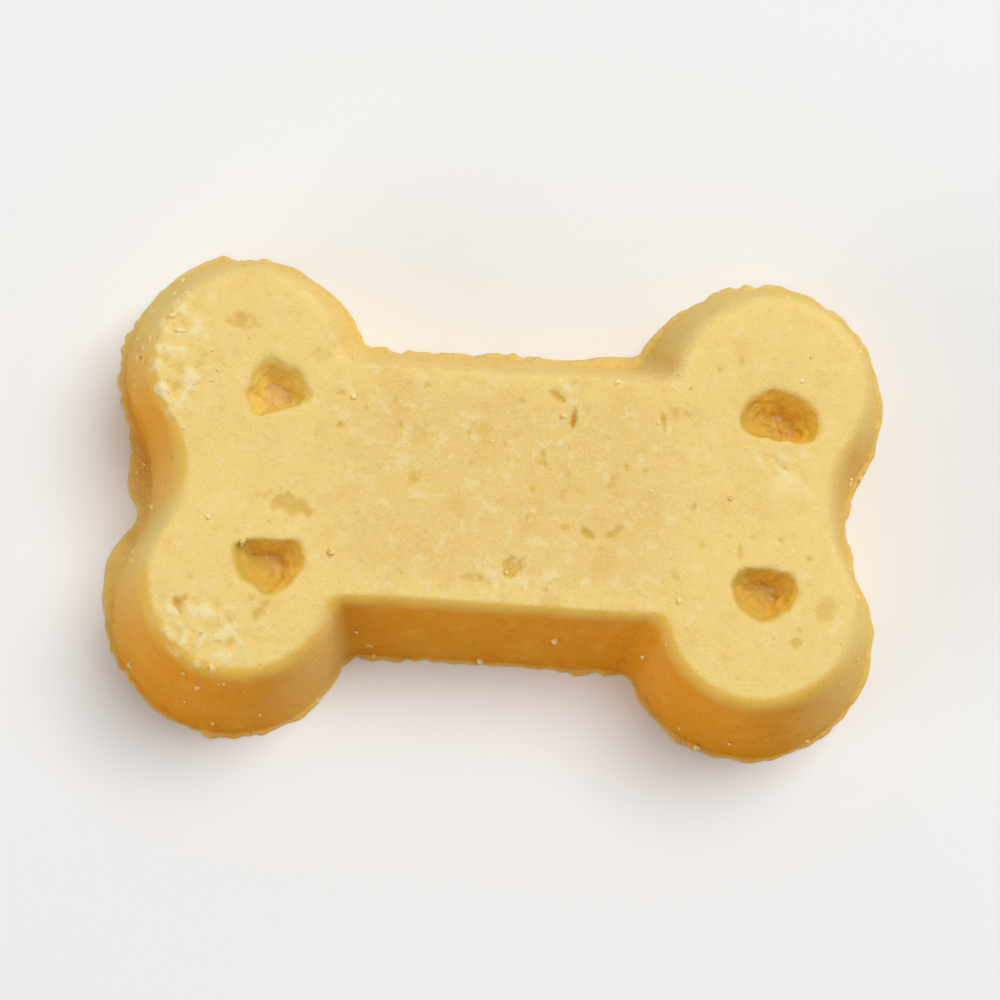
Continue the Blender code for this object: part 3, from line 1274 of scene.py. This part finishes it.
    def roughen(self, draft: Draft, mesh: bpy.types.Mesh) -> None:
        """Moves the points along their normals by the fine relief and marks its stains.

        Args:
            draft: The draft that the mesh was made from, whose fields get the stains.
            mesh: The mesh whose points are moved.
        """
        read = (Skin.FLANK, Skin.DENT, Skin.UNDER, Skin.LIP, Skin.BROWN)
        fields = np.stack([draft.values(skin) for skin in read], axis=1).tolist()
        normals = np.zeros(len(mesh.vertices) * 3, np.float32)
        mesh.vertex_normals.foreach_get("vector", normals)
        normals = normals.reshape(-1, 3)
        scars = list(self.scars) + self.pores()
        moved = np.zeros((len(mesh.vertices), 3), np.float32)
        for number, point in enumerate(draft.points):
            lift, shades = self.relief_at(Spot(point / MM, *fields[number]), scars)
            for skin, value in shades.items():
                draft.fields[skin][number] = value
            moved[number] = np.array(point) + normals[number] * lift * MM
            moved[number][2] = max(0.0, moved[number][2])
        mesh.vertices.foreach_set("co", moved.ravel())
        mesh.update()

    def write_fields(self, draft: Draft, mesh: bpy.types.Mesh) -> None:
        """Writes the draft's fields to the mesh as point attributes.

        Args:
            draft: The draft that the mesh was made from.
            mesh: The mesh.
        """
        for skin in Skin:
            layer = mesh.attributes.new(skin.value, "FLOAT", "POINT")
            layer.data.foreach_set("value", draft.values(skin))

    def build(self) -> bpy.types.Object:
        """Builds the body.

        Returns:
            Its object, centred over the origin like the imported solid.
        """
        draft = Draft()
        rings = self.add_lip(draft) + self.add_wall(draft)
        for lower, upper in zip(rings, rings[1:]):
            draft.bridge(lower, upper)
        self.add_top(draft, rings[-1])
        self.add_underside(draft, rings[0])
        mesh = draft.to_mesh("biscuit_body")
        self.roughen(draft, mesh)
        self.write_fields(draft, mesh)
        xs = [vert.co.x for vert in mesh.vertices]
        ys = [vert.co.y for vert in mesh.vertices]
        middle = Vector(((min(xs) + max(xs)) / 2, (min(ys) + max(ys)) / 2, 0.0))
        mesh.transform(Matrix.Translation(-middle))
        return place_object("biscuit_body", mesh)


@dataclass(frozen=True)
class Haunt:
    """A place on the biscuit where crumbs gather. Sizes are in millimetres."""

    x: float
    y: float
    reach_x: float
    reach_y: float
    weight: float

    def pull(self, place: Vector) -> float:
        """How strongly it draws crumbs to a place."""
        x, y = (place.x / MM - self.x) / self.reach_x, (place.y / MM - self.y) / self.reach_y
        return self.weight * math.exp(-(x**2) - y**2)


@dataclass
class Crumbs:
    """Small crumbs that cling to the biscuit."""

    count: int = 130
    least: float = 0.05 * MM
    most: float = 0.17 * MM
    seed: int = 5
    floor_gap: float = 0.25 * MM
    anywhere: float = 0.10
    on_lip: float = 1.2
    in_dent: float = -0.08
    on_wall: float = 0.10
    wall_start: float = 0.3
    # x, y, reach_x, reach_y, weight
    haunts: tuple[Haunt, ...] = (
        Haunt(-16.8, 5.6, 2.2, 3.2, 1.6),
        Haunt(-14.6, -8.8, 2.6, 1.6, 1.3),
    )
    placed: tuple[tuple[Vector, float], ...] = (
        (Vector((-8.5, -3.6, 7.2)) * MM, 0.22 * MM),
        (Vector((-12.8, -3.4, 7.2)) * MM, 0.16 * MM),
        (Vector((-13.9, -9.6, 6.8)) * MM, 0.18 * MM),
        (Vector((3.1, -6.9, 3.4)) * MM, 0.19 * MM),
        (Vector((-0.4, -7.7, 0.5)) * MM, 0.20 * MM),
        (Vector((-9.0, 7.6, 0.5)) * MM, 0.20 * MM),
    )
    squash: tuple[float, float] = (0.55, 1.25)
    swell: float = 0.7
    swell_turns: float = 1.2
    knobs: float = 0.35
    knob_turns: float = 3
    sunk: float = 0.15
    clearance: float = 1.3
    sharp_edge: float = math.radians(35)

    def liking(self, place: Vector, flank: float, dent: float, lip: float, under: float) -> float:
        """How likely a crumb is to cling to a point of the body.

        Args:
            place: The point.
            flank: Its place down the wall.
            dent: Its depth in a dent.
            lip: Its place on the lip.
            under: Whether it lies in the underside.

        Returns:
            The weight of the point when crumbs are drawn.
        """
        if under > 0 or place.z < self.floor_gap:
            return 0.0
        weight = self.anywhere + sum(haunt.pull(place) for haunt in self.haunts)
        if lip > 0:
            weight += self.on_lip
        if dent > 0:
            weight += self.in_dent
        if flank > self.wall_start:
            weight += self.on_wall
        return weight

    def weights(self, mesh: bpy.types.Mesh) -> list[float]:
        """Weighs every point of the body.

        Args:
            mesh: The body's mesh with its point fields.

        Returns:
            The liking of each point.
        """
        fields = []
        for skin in (Skin.FLANK, Skin.DENT, Skin.LIP, Skin.UNDER):
            values = np.zeros(len(mesh.vertices), np.float32)
            mesh.attributes[skin.value].data.foreach_get("value", values)
            fields.append(values.tolist())
        return [self.liking(vert.co, *marks) for vert, *marks in zip(mesh.vertices, *fields)]

    def choose(self, mesh: bpy.types.Mesh, draw: random.Random) -> list[tuple[int, float]]:
        """Chooses where the crumbs cling and how big they are.

        Args:
            mesh: The body's mesh.
            draw: The seeded source of random numbers.

        Returns:
            (number of the body's point, size) of each crumb, the placed ones last.
        """
        weights = self.weights(mesh)
        chosen = [
            (number, self.least + (self.most - self.least) * draw.random() ** 2.0)
            for number in draw.choices(range(len(weights)), weights, k=self.count)
        ]
        for place, size in self.placed:
            nearest = min(mesh.vertices, key=lambda vert: (vert.co - place).length_squared)
            chosen.append((nearest.index, size))
        return chosen

    def lump(self, size: float, draw: random.Random) -> tuple[list[Vector], list[tuple[int, ...]]]:
        """Shapes one uneven crumb round the origin.

        Args:
            size: Its radius before it is made uneven.
            draw: The seeded source of random numbers.

        Returns:
            Its points and faces.
        """
        work = bmesh.new()
        bmesh.ops.create_icosphere(work, subdivisions=2, radius=1.0)
        offset = Vector([draw.uniform(-50, 50) for _ in range(3)])
        stretch = Matrix.Diagonal([draw.uniform(*self.squash) for _ in range(3)])
        spin = Matrix.Rotation(draw.uniform(0, math.pi), 3, offset.normalized())
        points = []
        for vert in work.verts:
            broad = noise.noise(vert.co * self.swell_turns + offset)
            fine = noise.noise(vert.co * self.knob_turns + offset)
            swell = 1.0 + self.swell * broad + self.knobs * fine
            points.append(spin @ stretch @ vert.co * size * swell)
        faces = [tuple(vert.index for vert in face.verts) for face in work.faces]
        work.free()
        return points, faces

    def build(self, body: bpy.types.Object) -> bpy.types.Object:
        """Builds the crumbs as one mesh.

        Args:
            body: The finished body that they cling to.

        Returns:
            The crumbs' object.
        """
        draw = random.Random(self.seed)
        draft = Draft()
        for number, size in self.choose(body.data, draw):
            vert = body.data.vertices[number]
            points, faces = self.lump(size, draw)
            centre = vert.co + vert.normal * size * self.sunk
            centre.z = max(centre.z, size * self.clearance)
            start = len(draft.points)
            draft.points += [centre + point for point in points]
            draft.faces += [tuple(start + index for index in face) for face in faces]
        mesh = draft.to_mesh("clinging_crumbs")
        mesh.set_sharp_from_angle(angle=self.sharp_edge)
        return place_object("clinging_crumbs", mesh)


Value = Union["Signal", float, Sequence[float]]


class Signal:
    """A shader socket that can be used in arithmetic."""

    def __init__(self, graph: Graph, socket: bpy.types.NodeSocket) -> None:
        """Keeps the socket and the graph that it belongs to."""
        self.graph = graph
        self.socket = socket

    def maths(self, operation: str, *values: Value) -> Signal:
        """The result of a Math node with this signal as the first value."""
        inputs = dict(enumerate((self, *values)))
        return self.graph.node("ShaderNodeMath", {"operation": operation}, inputs)

    def __add__(self, other: Value) -> Signal:
        """This signal plus another."""
        return self.maths("ADD", other)

    __radd__ = __add__

    def __mul__(self, other: Value) -> Signal:
        """This signal times another."""
        return self.maths("MULTIPLY", other)

    __rmul__ = __mul__

    def __sub__(self, other: Value) -> Signal:
        """This signal less another."""
        return self.maths("SUBTRACT", other)

    def __rsub__(self, other: Value) -> Signal:
        """Another value less this signal."""
        return self.graph.node("ShaderNodeMath", {"operation": "SUBTRACT"}, {0: other, 1: self})

    def clamped(self) -> Signal:
        """This signal kept between 0 and 1."""
        settings = {"operation": "ADD", "use_clamp": True}
        return self.graph.node("ShaderNodeMath", settings, {0: self, 1: 0.0})

    def step(self, low: float, high: float) -> Signal:
        """Makes an eased step from this signal.

        Args:
            low: Where the step starts, at 0.
            high: Where it ends, at 1.

        Returns:
            The step.
        """
        settings = {"interpolation_type": "SMOOTHSTEP"}
        inputs = {"Value": self, "From Min": low, "From Max": high}
        return self.graph.node("ShaderNodeMapRange", settings, inputs)


class Graph:
    """The node tree of one material, with its Principled shader."""

    def __init__(self, name: str) -> None:
        """Makes the material.

        Args:
            name: Its name.
        """
        self.material = bpy.data.materials.new(name)
        self.material.use_nodes = True
        self.tree = self.material.node_tree
        self.shader = self.tree.nodes["Principled BSDF"]

    def node(
        self,
        kind: str,
        settings: Optional[dict[str, Any]] = None,
        inputs: Optional[dict[Union[int, str], Value]] = None,
        output: Union[int, str] = 0,
    ) -> Signal:
        """Adds a node.

        Args:
            kind: The node's type.
            settings: Its properties, set before the sockets.
            inputs: Values or signals of its sockets, by name or number.
            output: The socket that the result is read from.

        Returns:
            The output as a signal.
        """
        made = self.tree.nodes.new(kind)
        for name, value in (settings or {}).items():
            setattr(made, name, value)
        for key, value in (inputs or {}).items():
            self.feed(made.inputs[key], value)
        return Signal(self, made.outputs[output])

    def feed(self, socket: bpy.types.NodeSocket, value: Value) -> None:
        """Links a signal to a socket, or sets a plain value on it.

        Args:
            socket: The node's input.
            value: A signal, a number, or a colour or vector.
        """
        if isinstance(value, Signal):
            self.tree.links.new(value.socket, socket)
        elif isinstance(value, (int, float)):
            socket.default_value = value
        else:
            size = len(socket.default_value)
            socket.default_value = (*value, 1.0)[:size]

    def skin(self, skin: Skin) -> Signal:
        """One point field of the fine body."""
        return self.node("ShaderNodeAttribute", {"attribute_name": skin.value}, output="Fac")

    def cloud(self, place: Signal, size: float, detail: float = 2.0, rough: float = 0.5) -> Signal:
        """Soft noise from 0 to 1 whose features have a size in metres."""
        inputs = {"Vector": place, "Scale": 1 / size, "Detail": detail, "Roughness": rough}
        return self.node("ShaderNodeTexNoise", {}, inputs, "Fac")

    def blend(self, share: Value, one: Value, other: Value) -> Signal:
        """The mix of two colours; sockets 6 and 7 and output 2 of a Mix node hold its colours."""
        return self.node("ShaderNodeMix", {"data_type": "RGBA"}, {0: share, 6: one, 7: other}, 2)

    def set_shader(self, **values: Value) -> None:
        """Sets sockets of the shader, named with underscores for spaces."""
        for name, value in values.items():
            self.feed(self.shader.inputs[name.replace("_", " ").title()], value)


class DoughClouds:
    """The noises that the dough's colours and grain share, from broad to fine."""

    def __init__(self, g: Graph) -> None:
        """Adds the noises to a material, each with its size, detail and roughness.

        Args:
            g: The material's nodes.
        """
        place = g.node("ShaderNodeTexCoord", output="Object")
        self.broad = g.cloud(place, 5.0 * MM)
        self.mottle = g.cloud(place, 1.3 * MM, 3.0, 0.55)
        self.pale = g.cloud(place, 0.75 * MM, 4.0, 0.6)
        self.bran = g.cloud(place, 0.5 * MM, 4.0, 0.65)
        self.grain = g.cloud(place, 0.34 * MM, 3.0, 0.6)
        self.dust = g.cloud(place, 0.16 * MM, 2.0, 0.6)
        self.grit = g.cloud(place, 0.07 * MM, 2.0, 0.6)


@dataclass(frozen=True)
class Fleck:
    """How a noise flecks the dough: it starts at low, is full at high, and covers up to a share."""

    low: float
    high: float
    share: float

    def on(self, cloud: Signal) -> Signal:
        """How much of the fleck's colour shows over the surface."""
        return cloud.step(self.low, self.high) * self.share


@dataclass(frozen=True)
class DoughFinish:
    """Pale baked dough, amber where the mould's walls held the heat in, and deeper amber on the front and
    left walls as painted side shade.
    """

    shaft: Colour = (0.870, 0.620, 0.215)
    lobe: Colour = (0.925, 0.680, 0.235)
    rim: Colour = (0.935, 0.690, 0.235)
    shade: Colour = (0.820, 0.545, 0.170)
    flour: Colour = (0.960, 0.820, 0.450)
    gold: Colour = (0.955, 0.565, 0.080)
    # Wall colours of the lit rear and right side and of the shaded front and left: painted side shade.
    lit_side_wall: Colour = (0.935, 0.645, 0.185)
    shade_side_wall: Colour = (0.870, 0.325, 0.006)
    pale_dent: Colour = (0.930, 0.670, 0.160)
    deep_dent: Colour = (0.900, 0.510, 0.055)
    pale_floor: Colour = (0.830, 0.560, 0.210)
    deep_floor: Colour = (0.690, 0.385, 0.055)
    scar: Colour = (0.680, 0.300, 0.025)
    dull_scar: Colour = (0.710, 0.465, 0.080)
    lip: Colour = (0.920, 0.600, 0.170)
    underside: Colour = (0.760, 0.460, 0.110)

    mottling: Fleck = Fleck(0.48, 0.70, 0.65)
    flouring: Fleck = Fleck(0.52, 0.68, 0.42)
    dusting: Fleck = Fleck(0.56, 0.70, 0.38)
    gritting: Fleck = Fleck(0.55, 0.70, 0.30)
    graining: Fleck = Fleck(0.60, 0.72, 0.42)
    wall_mottling: Fleck = Fleck(0.50, 0.72, 0.24)
    wall_graining: Fleck = Fleck(0.58, 0.70, 0.30)
    floor_flouring: Fleck = Fleck(0.48, 0.64, 0.22)
    bran_flecking: Fleck = Fleck(0.40, 0.70, 0.7)
    lip_paling: Fleck = Fleck(0.35, 1.0, 0.6)
    lobe_paling: float = 0.9
    lobe_mottling: float = 0.7
    lobe_calm: float = 0.45
    rim_share: float = 0.75
    # The gold edge band and the amber of the walls reach further and deeper on the front and left walls:
    # painted side shade.
    gilt_onset: tuple[float, float] = (0.15, 0.45)
    gilt_mottle: float = 0.4
    gilt_side_shade: float = 0.6
    gilt_least: float = 0.05
    gild_span: tuple[float, float] = (0.03, 0.18)
    gild_side_shade: float = 1.6
    gild_least: float = 0.4
    side_shade_mottling: float = 0.3
    wall_span: tuple[float, float] = (0.10, 0.31)
    wall_mottle: float = 0.10
    wall_side_shade: float = 0.7
    wall_least: float = 0.3
    side_span: tuple[float, float] = (0.01, 0.20)
    floor_span: tuple[float, float] = (0.86, 0.99)
    under_span: tuple[float, float] = (0.3, 0.9)
    pale_share: float = 0.75
    # Strength of the painted shade in the gaps of the crumbly patches.
    gap_shade_share: float = 0.45

    roughness: float = 0.60
    roughness_mottle: float = 0.16
    grain_height: float = 0.45
    dust_height: float = 0.45
    grit_height: float = 0.35
    wall_height: float = 0.9
    ior: float = 1.44
    gloss: float = 0.15
    glow: float = 0.16
    glow_reach: tuple[float, float, float] = (1.0, 0.55, 0.18)
    glow_scale: float = 0.7 * MM
    bump_strength: float = 0.9
    bump_depth: float = 0.12 * MM

    def top_colour(self, g: Graph, clouds: DoughClouds) -> Signal:
        """Colours the top, paler and calmer on the lobes than on the shaft.

        Args:
            g: The material's nodes.
            clouds: The dough's noises.

        Returns:
            The colour.
        """
        lobe = g.skin(Skin.LOBE)
        share = (lobe * self.lobe_paling + (clouds.broad - 0.5) * self.lobe_mottling).clamped()
        calm = lobe * -self.lobe_calm + 1.0
        colour = g.blend(share, self.shaft, self.lobe)
        colour = g.blend(g.skin(Skin.RIM) * self.rim_share, colour, self.rim)
        colour = g.blend(self.mottling.on(clouds.mottle) * calm, colour, self.shade)
        colour = g.blend(self.flouring.on(clouds.pale) * calm, colour, self.flour)
        colour = g.blend(self.dusting.on(clouds.dust), colour, self.flour)
        colour = g.blend(self.gritting.on(clouds.grit), colour, self.shade)
        return g.blend(self.graining.on(clouds.grain) * calm, colour, self.dull_scar)

    def add_wall(self, g: Graph, clouds: DoughClouds, colour: Signal) -> Signal:
        """Colours the walls over the top's colour: gold at the edge and amber below, both deeper and
        wider in front as painted side shade.

        Args:
            g: The material's nodes.
            clouds: The dough's noises.
            colour: The colour so far.

        Returns:
            The colour with the walls and the lip.
        """
        # The side field holds the walls' painted side shade: 1 on the front and left walls, 0 at the rear
        # and right.
        flank, browning_and_shade = g.skin(Skin.FLANK), g.skin(Skin.BROWN)
        browned = browning_and_shade.step(*self.gilt_onset) * self.gilt_side_shade
        gilt = clouds.mottle * self.gilt_mottle + browned + self.gilt_least
        # Painted side shade, with some random mottle, picks the wall colour between the lit and the
        # shaded one.
        baked = (browning_and_shade + (clouds.broad - 0.5) * self.side_shade_mottling).clamped()
        wall = g.blend(baked, self.lit_side_wall, self.shade_side_wall)
        wall = g.blend(self.wall_mottling.on(clouds.mottle), wall, self.gold)
        wall = g.blend(self.wall_graining.on(clouds.grain), wall, self.scar)
        # The gold band at the rounded edge is wider on the shaded front: painted side shade.
        edge = flank * (browning_and_shade * self.gild_side_shade + self.gild_least)
        colour = g.blend(edge.step(*self.gild_span) * gilt, colour, self.gold)
        down = flank + (clouds.mottle - 0.5) * self.wall_mottle
        # The amber reaches higher up the shaded front walls: painted side shade.
        below = down * (browning_and_shade * self.wall_side_shade + self.wall_least)
        colour = g.blend(below.step(*self.wall_span), colour, wall)
        return g.blend(self.lip_paling.on(g.skin(Skin.LIP)), colour, self.lip)

    def add_dents(self, g: Graph, clouds: DoughClouds, colour: Signal) -> Signal:
        """Colours the dents, their floors and the marks over the colour so far.

        Args:
            g: The material's nodes.
            clouds: The dough's noises.
            colour: The colour so far.

        Returns:
            The colour with the dents and marks.
        """
        dent, browning_and_shade = g.skin(Skin.DENT), g.skin(Skin.BROWN)
        floor = g.blend(browning_and_shade, self.pale_floor, self.deep_floor)
        floor = g.blend(self.floor_flouring.on(clouds.grain), floor, self.flour)
        side = g.blend(browning_and_shade, self.pale_dent, self.deep_dent)
        colour = g.blend(dent.step(*self.side_span), colour, side)
        colour = g.blend(dent.step(*self.floor_span), colour, floor)
        stained = g.blend(g.skin(Skin.AMBER), self.dull_scar, self.scar)
        colour = g.blend(g.skin(Skin.STAIN), colour, stained)
        colour = g.blend(g.skin(Skin.PALE) * self.pale_share, colour, self.flour)
        # Painted shade in the gaps of the crumbly patches, in the marks' colour.
        return g.blend(g.skin(Skin.GAP) * self.gap_shade_share, colour, stained)

    def add_underside(self, g: Graph, clouds: DoughClouds, colour: Signal) -> Signal:
        """The colour so far with the browner, bran-flecked underside."""
        back = g.blend(self.bran_flecking.on(clouds.bran), self.underside, self.shade)
        return g.blend(g.skin(Skin.UNDER).step(*self.under_span), colour, back)

    def make(self) -> bpy.types.Material:
        """Builds the material."""
        g = Graph("baked_dough")
        clouds = DoughClouds(g)
        colour = self.top_colour(g, clouds)
        colour = self.add_wall(g, clouds, colour)
        colour = self.add_dents(g, clouds, colour)
        colour = self.add_underside(g, clouds, colour)

        fine = clouds.grain * self.grain_height + clouds.dust * self.dust_height
        fine = fine + clouds.grit * self.grit_height
        height = fine * (g.skin(Skin.FLANK) * self.wall_height + 1.0)
        inputs = {"Strength": self.bump_strength, "Distance": self.bump_depth, "Height": height}
        bump = g.node("ShaderNodeBump", {}, inputs)
        rough = self.roughness + clouds.mottle * self.roughness_mottle
        g.set_shader(base_color=colour, roughness=rough, normal=bump)
        g.shader.inputs["IOR"].default_value = self.ior
        g.shader.inputs["Specular IOR Level"].default_value = self.gloss
        g.shader.inputs["Subsurface Weight"].default_value = self.glow
        g.shader.inputs["Subsurface Radius"].default_value = self.glow_reach
        g.shader.inputs["Subsurface Scale"].default_value = self.glow_scale
        return g.material


@dataclass(frozen=True)
class CrumbFinish:
    """Loose dry crumbs of the same dough, paler than its skin."""

    pale: Colour = (0.960, 0.800, 0.400)
    golden: Colour = (0.920, 0.660, 0.230)
    roughness: float = 0.75
    tint_size: float = 0.9 * MM
    tint_span: tuple[float, float] = (0.35, 0.65)
    grain_size: float = 0.09 * MM
    bump_strength: float = 0.5
    bump_depth: float = 0.02 * MM

    def make(self) -> bpy.types.Material:
        """Builds the material."""
        g = Graph("dry_crumb")
        place = g.node("ShaderNodeTexCoord", output="Object")
        tint = g.cloud(place, self.tint_size)
        grain = g.cloud(place, self.grain_size)
        inputs = {"Strength": self.bump_strength, "Distance": self.bump_depth, "Height": grain}
        bump = g.node("ShaderNodeBump", {}, inputs)
        colour = g.blend(tint.step(*self.tint_span), self.pale, self.golden)
        g.set_shader(base_color=colour, normal=bump)
        g.shader.inputs["Roughness"].default_value = self.roughness
        return g.material


@dataclass(frozen=True)
class StudioFloor:
    """A plain pale floor."""

    size: float = 6.0
    colour: Colour = (0.88, 0.88, 0.875)
    roughness: float = 0.9

    def build(self) -> bpy.types.Object:
        """Builds the floor just under the biscuit.

        Returns:
            The floor's object.
        """
        half = self.size / 2
        mesh = bpy.data.meshes.new("studio_floor")
        corners = [(-half, -half, 0), (half, -half, 0), (half, half, 0), (-half, half, 0)]
        mesh.from_pydata(corners, [], [(0, 1, 2, 3)])
        floor = place_object("studio_floor", mesh)
        g = Graph("matt_white")
        g.set_shader(base_color=self.colour)
        g.shader.inputs["Roughness"].default_value = self.roughness
        mesh.materials.append(g.material)
        return floor


@dataclass(frozen=True)
class SoftLight:
    """One square softbox that looks at the biscuit."""

    name: str
    azimuth: float
    elevation: float
    distance: float
    size: float
    power: float
    colour: Colour = (1.0, 1.0, 1.0)

    def build(self) -> bpy.types.Object:
        """Places the light. The azimuth is counted from +X towards +Y, in degrees.

        Returns:
            The light's object.
        """
        turn, rise = math.radians(self.azimuth), math.radians(self.elevation)
        level = math.cos(rise)
        towards = Vector((math.cos(turn) * level, math.sin(turn) * level, math.sin(rise)))
        data = bpy.data.lights.new(self.name, "AREA")
        data.shape = "SQUARE"
        data.size = self.size
        data.energy = self.power
        data.color = self.colour
        light = place_object(self.name, data)
        light.location = towards * self.distance
        light.rotation_euler = towards.to_track_quat("Z", "Y").to_euler()
        return light


@dataclass(frozen=True)
class Studio:
    """Soft light from the upper right of the picture, with a pale surround."""

    surround: Colour = (1.0, 1.0, 1.0)
    surround_strength: float = 0.34
    lights: tuple[SoftLight, ...] = (
        SoftLight("key_softbox", azimuth=50, elevation=59, distance=0.9, size=0.55, power=5.85),
        SoftLight("front_fill", azimuth=207, elevation=19, distance=1.1, size=0.8, power=3.6),
    )

    def build(self) -> None:
        """Makes the surround and the lights, and sets how tones are shown."""
        world = bpy.data.worlds.new("pale_surround")
        world.use_nodes = True
        back = world.node_tree.nodes["Background"]
        back.inputs["Color"].default_value = (*self.surround, 1.0)
        back.inputs["Strength"].default_value = self.surround_strength
        bpy.context.scene.world = world
        for light in self.lights:
            light.build()
        bpy.context.scene.view_settings.view_transform = "Standard"


@dataclass(frozen=True)
class PhotoCamera:
    """A long lens above the biscuit, at the viewing angle measured in the photograph.

    The lean is the angle between the biscuit's upright and the line of sight, and its heading is the
    direction of the lean in the picture, anticlockwise from the right, as is the bone's tilt.
    """

    lean: float = math.radians(10.0)
    heading: float = math.radians(62.0)
    bone_tilt: float = math.radians(-3.5)
    distance: float = 0.97
    view_width: float = 49.5 * MM
    sensor: float = 36.0

    def axes(self) -> Matrix:
        """Works out how the camera is turned.

        Returns:
            Its right, up and back directions in the biscuit's frame, as columns.
        """
        slope = math.sin(self.lean)
        aside, ahead = slope * math.cos(self.heading), slope * math.sin(self.heading)
        upright = Vector((aside, ahead, math.cos(self.lean)))
        run = Vector((math.cos(self.bone_tilt), math.sin(self.bone_tilt), 0.0))
        along = Vector((run.x, run.y, -run.dot(upright) / upright.z)).normalized()
        across = upright.cross(along)
        return Matrix((along, across, upright))

    def build(self) -> bpy.types.Object:
        """Places the camera and makes it the scene's own.

        Returns:
            The camera's object.
        """
        data = bpy.data.cameras.new("photo_camera")
        data.sensor_width = self.sensor
        data.lens = self.sensor * self.distance / self.view_width
        camera = place_object("photo_camera", data)
        axes = self.axes()
        target = Vector((0.0, 0.0, (CAD_BOX[0][2] + CAD_BOX[1][2]) / 2))
        camera.matrix_world = Matrix.Translation(target + axes.col[2] * self.distance) @ axes.to_4x4()
        bpy.context.scene.camera = camera
        return camera


def main() -> None:
    """Builds the stage, the biscuit and its crumbs."""
    logging.basicConfig(level=logging.INFO, format="%(name)s: %(message)s")
    PhotoCamera().build()
    Studio().build()
    StudioFloor().build()

    body = BiscuitBody().build()
    body.data.materials.append(DoughFinish().make())
    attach(body, BODY)
    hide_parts(NODE)
    LOG.info("biscuit_body: %d faces", len(body.data.polygons))

    crumbs = Crumbs().build(body)
    crumbs.data.materials.append(CrumbFinish().make())
    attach(crumbs, BODY)
    LOG.info("clinging_crumbs: %d faces", len(crumbs.data.polygons))


if __name__ == "__main__":
    main()
